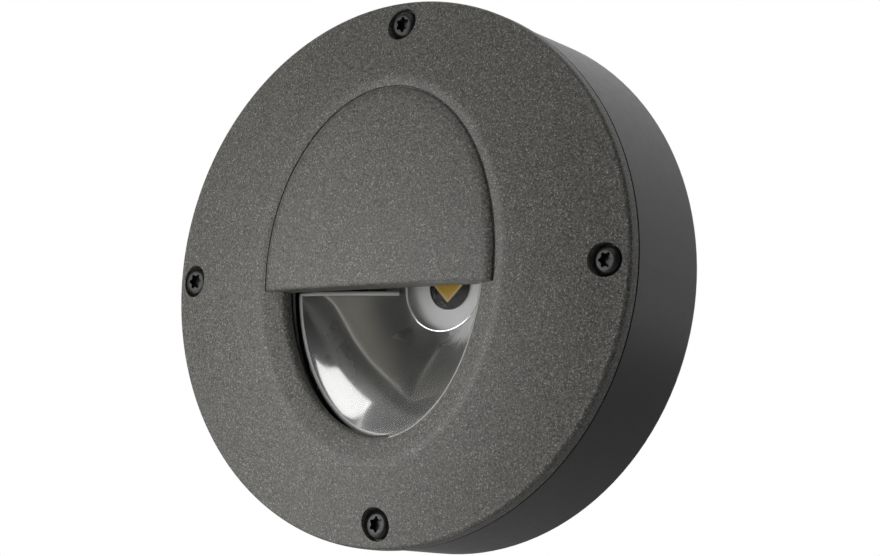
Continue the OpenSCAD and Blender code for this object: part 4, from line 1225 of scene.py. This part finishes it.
def direction(right, up):
    """The unit vector from the wall light, so many degrees to the right of its front and above it."""
    right, up = math.radians(right), math.radians(up)
    return Vector((math.sin(right) * math.cos(up), -math.cos(right) * math.cos(up), math.sin(up)))


def aimed(location):
    """A matrix at a place, with its -Z axis turned to the wall light."""
    return Matrix.Translation(location) @ (-location).to_track_quat("-Z", "Y").to_matrix().to_4x4()


def soft_light(name, location, side, power):
    """A square soft box that the camera doesn't see."""
    lamp = bpy.data.lights.new(name, "AREA")
    lamp.shape = "SQUARE"
    lamp.size = side
    lamp.energy = power
    box = put_in_scene(name, lamp)
    box.matrix_world = aimed(location)
    hide_from(box, "camera")


def sheet(name, places, columns, material):
    """A sheet of faces through rows of points, as part of the stage."""
    rows = len(places) // columns
    faces = []
    for i in range(rows - 1):
        for j in range(columns - 1):
            a = i * columns + j
            faces.append((a, a + columns, a + columns + 1, a + 1))
    mesh = bpy.data.meshes.new(name)
    mesh.from_pydata(places, [], faces)
    mesh.materials.append(material)
    made = put_in_scene(name, mesh)
    return made


def card(name, left, right, low, high, distance, tone):
    """A curved card that only reflections see, between two directions each way."""
    steps = 8
    shares = [k / steps for k in range(steps + 1)]
    across = [left + (right - left) * i for i in shares]
    upward = [low + (high - low) * j for j in shares]
    places = [direction(turn, up) * distance for turn in across for up in upward]
    paper = Finish(name + "_paper", tone, 1.0, specular_ior_level=0.0).material
    made = sheet(name, places, steps + 1, paper)
    hide_from(made, "camera", "diffuse", "transmission", "volume_scatter", "shadow")


class WALLSPOT_OT_stage(bpy.types.Operator):
    """Set up the pale floor, the white background, the soft boxes and the camera"""

    bl_idname = "wallspot.stage"
    bl_label = "Studio"

    # Turn of the camera and its place, from the ellipse of the cover's rim
    view_right = (0.81868, 0.57205, 0.05019)
    view_up = (0.04137, -0.14594, 0.98843)
    view_back = (0.57275, -0.80713, -0.14315)
    camera_place = (0.4283, -0.6181, -0.1054)
    lens = 110.34
    sensor = 36.0
    near_clip = 0.01
    # Half the floor's side, and its faces each way
    floor_half = 4.0
    floor_bends = 12

    # Soft boxes: direction seen from the light (degrees to the right, degrees up), distance, side, power
    boxes = {
        "left_soft_box": (-50, -35, 0.4, 0.25, 0.4),
        "front_soft_box": (-20, -10, 0.26, 0.16, 0.14),
        "key_soft_box": (-38, 4, 1.0, 0.55, 2.7),
        "top_soft_box": (3, 53, 1.0, 0.65, 1.6),
    }
    # Cards: their sides in degrees to the right, their lower and upper edge in degrees up, distance and tone
    cards = {
        "camera_card": (-27, 135, -35, 75, 1.6, 0.02),
        "left_card": (-85, -29, 26, 75, 1.6, 0.25),
        "side_card": (-110, -56, -40, 26, 1.7, 1.0),
    }

    def execute(self, context):
        stage = context.scene.wallspot_stage
        self.add_camera(context.scene)
        self.add_floor(stage)
        self.add_world(context.scene, stage)
        for name, (right, up, distance, side, power) in self.boxes.items():
            soft_light(name, direction(right, up) * distance, side, power * stage.light_level)
        for name, (left, right, low, high, distance, tone) in self.cards.items():
            card(name, left, right, low, high, distance, tint(stage.card_tone, tone))
        context.scene.view_settings.view_transform = "Standard"
        return {"FINISHED"}

    def add_camera(self, scene):
        """The camera that took the photo."""
        camera = bpy.data.cameras.new("photo_camera")
        camera.lens = self.lens
        camera.sensor_width = self.sensor
        camera.sensor_fit = "HORIZONTAL"
        camera.clip_start = self.near_clip
        holder = put_in_scene("photo_camera", camera)
        turn = Matrix((self.view_right, self.view_up, self.view_back)).transposed()
        holder.matrix_world = Matrix.Translation(self.camera_place) @ turn.to_4x4()
        scene.camera = holder

    def add_floor(self, stage):
        """A pale floor, well below the wall light."""
        half, bends = self.floor_half, self.floor_bends
        steps = [half * (2 * i / bends - 1) for i in range(bends + 1)]
        places = [(x, y, -stage.floor_drop) for x in steps for y in steps]
        sheet("floor", places, bends + 1, Finish("floor_paint", stage.floor_tone, 0.8).material)

    def add_world(self, scene, stage):
        """Even light from all sides, and a white background for camera, metal and glass."""
        world = bpy.data.worlds.new("white_studio")
        made = NodeTree(world)
        seen = made.node("ShaderNodeLightPath", output="Is Camera Ray")
        mirrored = seen.math("MAXIMUM", seen.beside("Is Glossy Ray"))
        shown = mirrored.math("MAXIMUM", seen.beside("Is Transmission Ray"))
        white = (1.0, 1.0, 1.0, 1.0)
        light = made.node("ShaderNodeBackground", None, {"Color": white, "Strength": stage.ambient})
        backdrop = made.node("ShaderNodeBackground", None, {"Color": white, "Strength": 1.0})
        mix = made.node("ShaderNodeMixShader", None, {0: shown, 1: light, 2: backdrop})
        made.node("ShaderNodeOutputWorld", None, {"Surface": mix})
        scene.world = world


OPERATORS = (
    WALLSPOT_OT_cover,
    WALLSPOT_OT_housing,
    WALLSPOT_OT_fasteners,
    WALLSPOT_OT_seals,
    WALLSPOT_OT_window,
    WALLSPOT_OT_reflector,
    WALLSPOT_OT_light_source,
    WALLSPOT_OT_driver,
    WALLSPOT_OT_terminals,
    WALLSPOT_OT_leads,
    WALLSPOT_OT_stage,
)


class WALLSPOT_PT_panel(bpy.types.Panel):
    """Pieces and studio of the wall spotlight"""

    bl_idname = "WALLSPOT_PT_panel"
    bl_label = "LED Wall Spotlight"
    bl_space_type = "VIEW_3D"
    bl_region_type = "UI"
    bl_category = "Wall Spotlight"

    def draw(self, context):
        for operator in OPERATORS:
            self.layout.operator(operator.bl_idname)
        for name in GROUPS:
            settings = getattr(context.scene, name)
            box = self.layout.box()
            for key in type(settings).__annotations__:
                box.prop(settings, key)


def register():
    """Register the settings, operators and panel."""
    for group in GROUPS.values():
        bpy.utils.register_class(group)
    for name, group in GROUPS.items():
        setattr(bpy.types.Scene, name, PointerProperty(type=group))
    for operator in OPERATORS:
        bpy.utils.register_class(operator)
    bpy.utils.register_class(WALLSPOT_PT_panel)


def unregister():
    """Take everything out again."""
    bpy.utils.unregister_class(WALLSPOT_PT_panel)
    for operator in reversed(OPERATORS):
        bpy.utils.unregister_class(operator)
    for name, group in reversed(list(GROUPS.items())):
        delattr(bpy.types.Scene, name)
        bpy.utils.unregister_class(group)


def main():
    """Build every piece and the studio."""
    register()
    for operator in OPERATORS:
        group, name = operator.bl_idname.split(".")
        getattr(getattr(bpy.ops, group), name)()


if __name__ == "__main__":
    main()
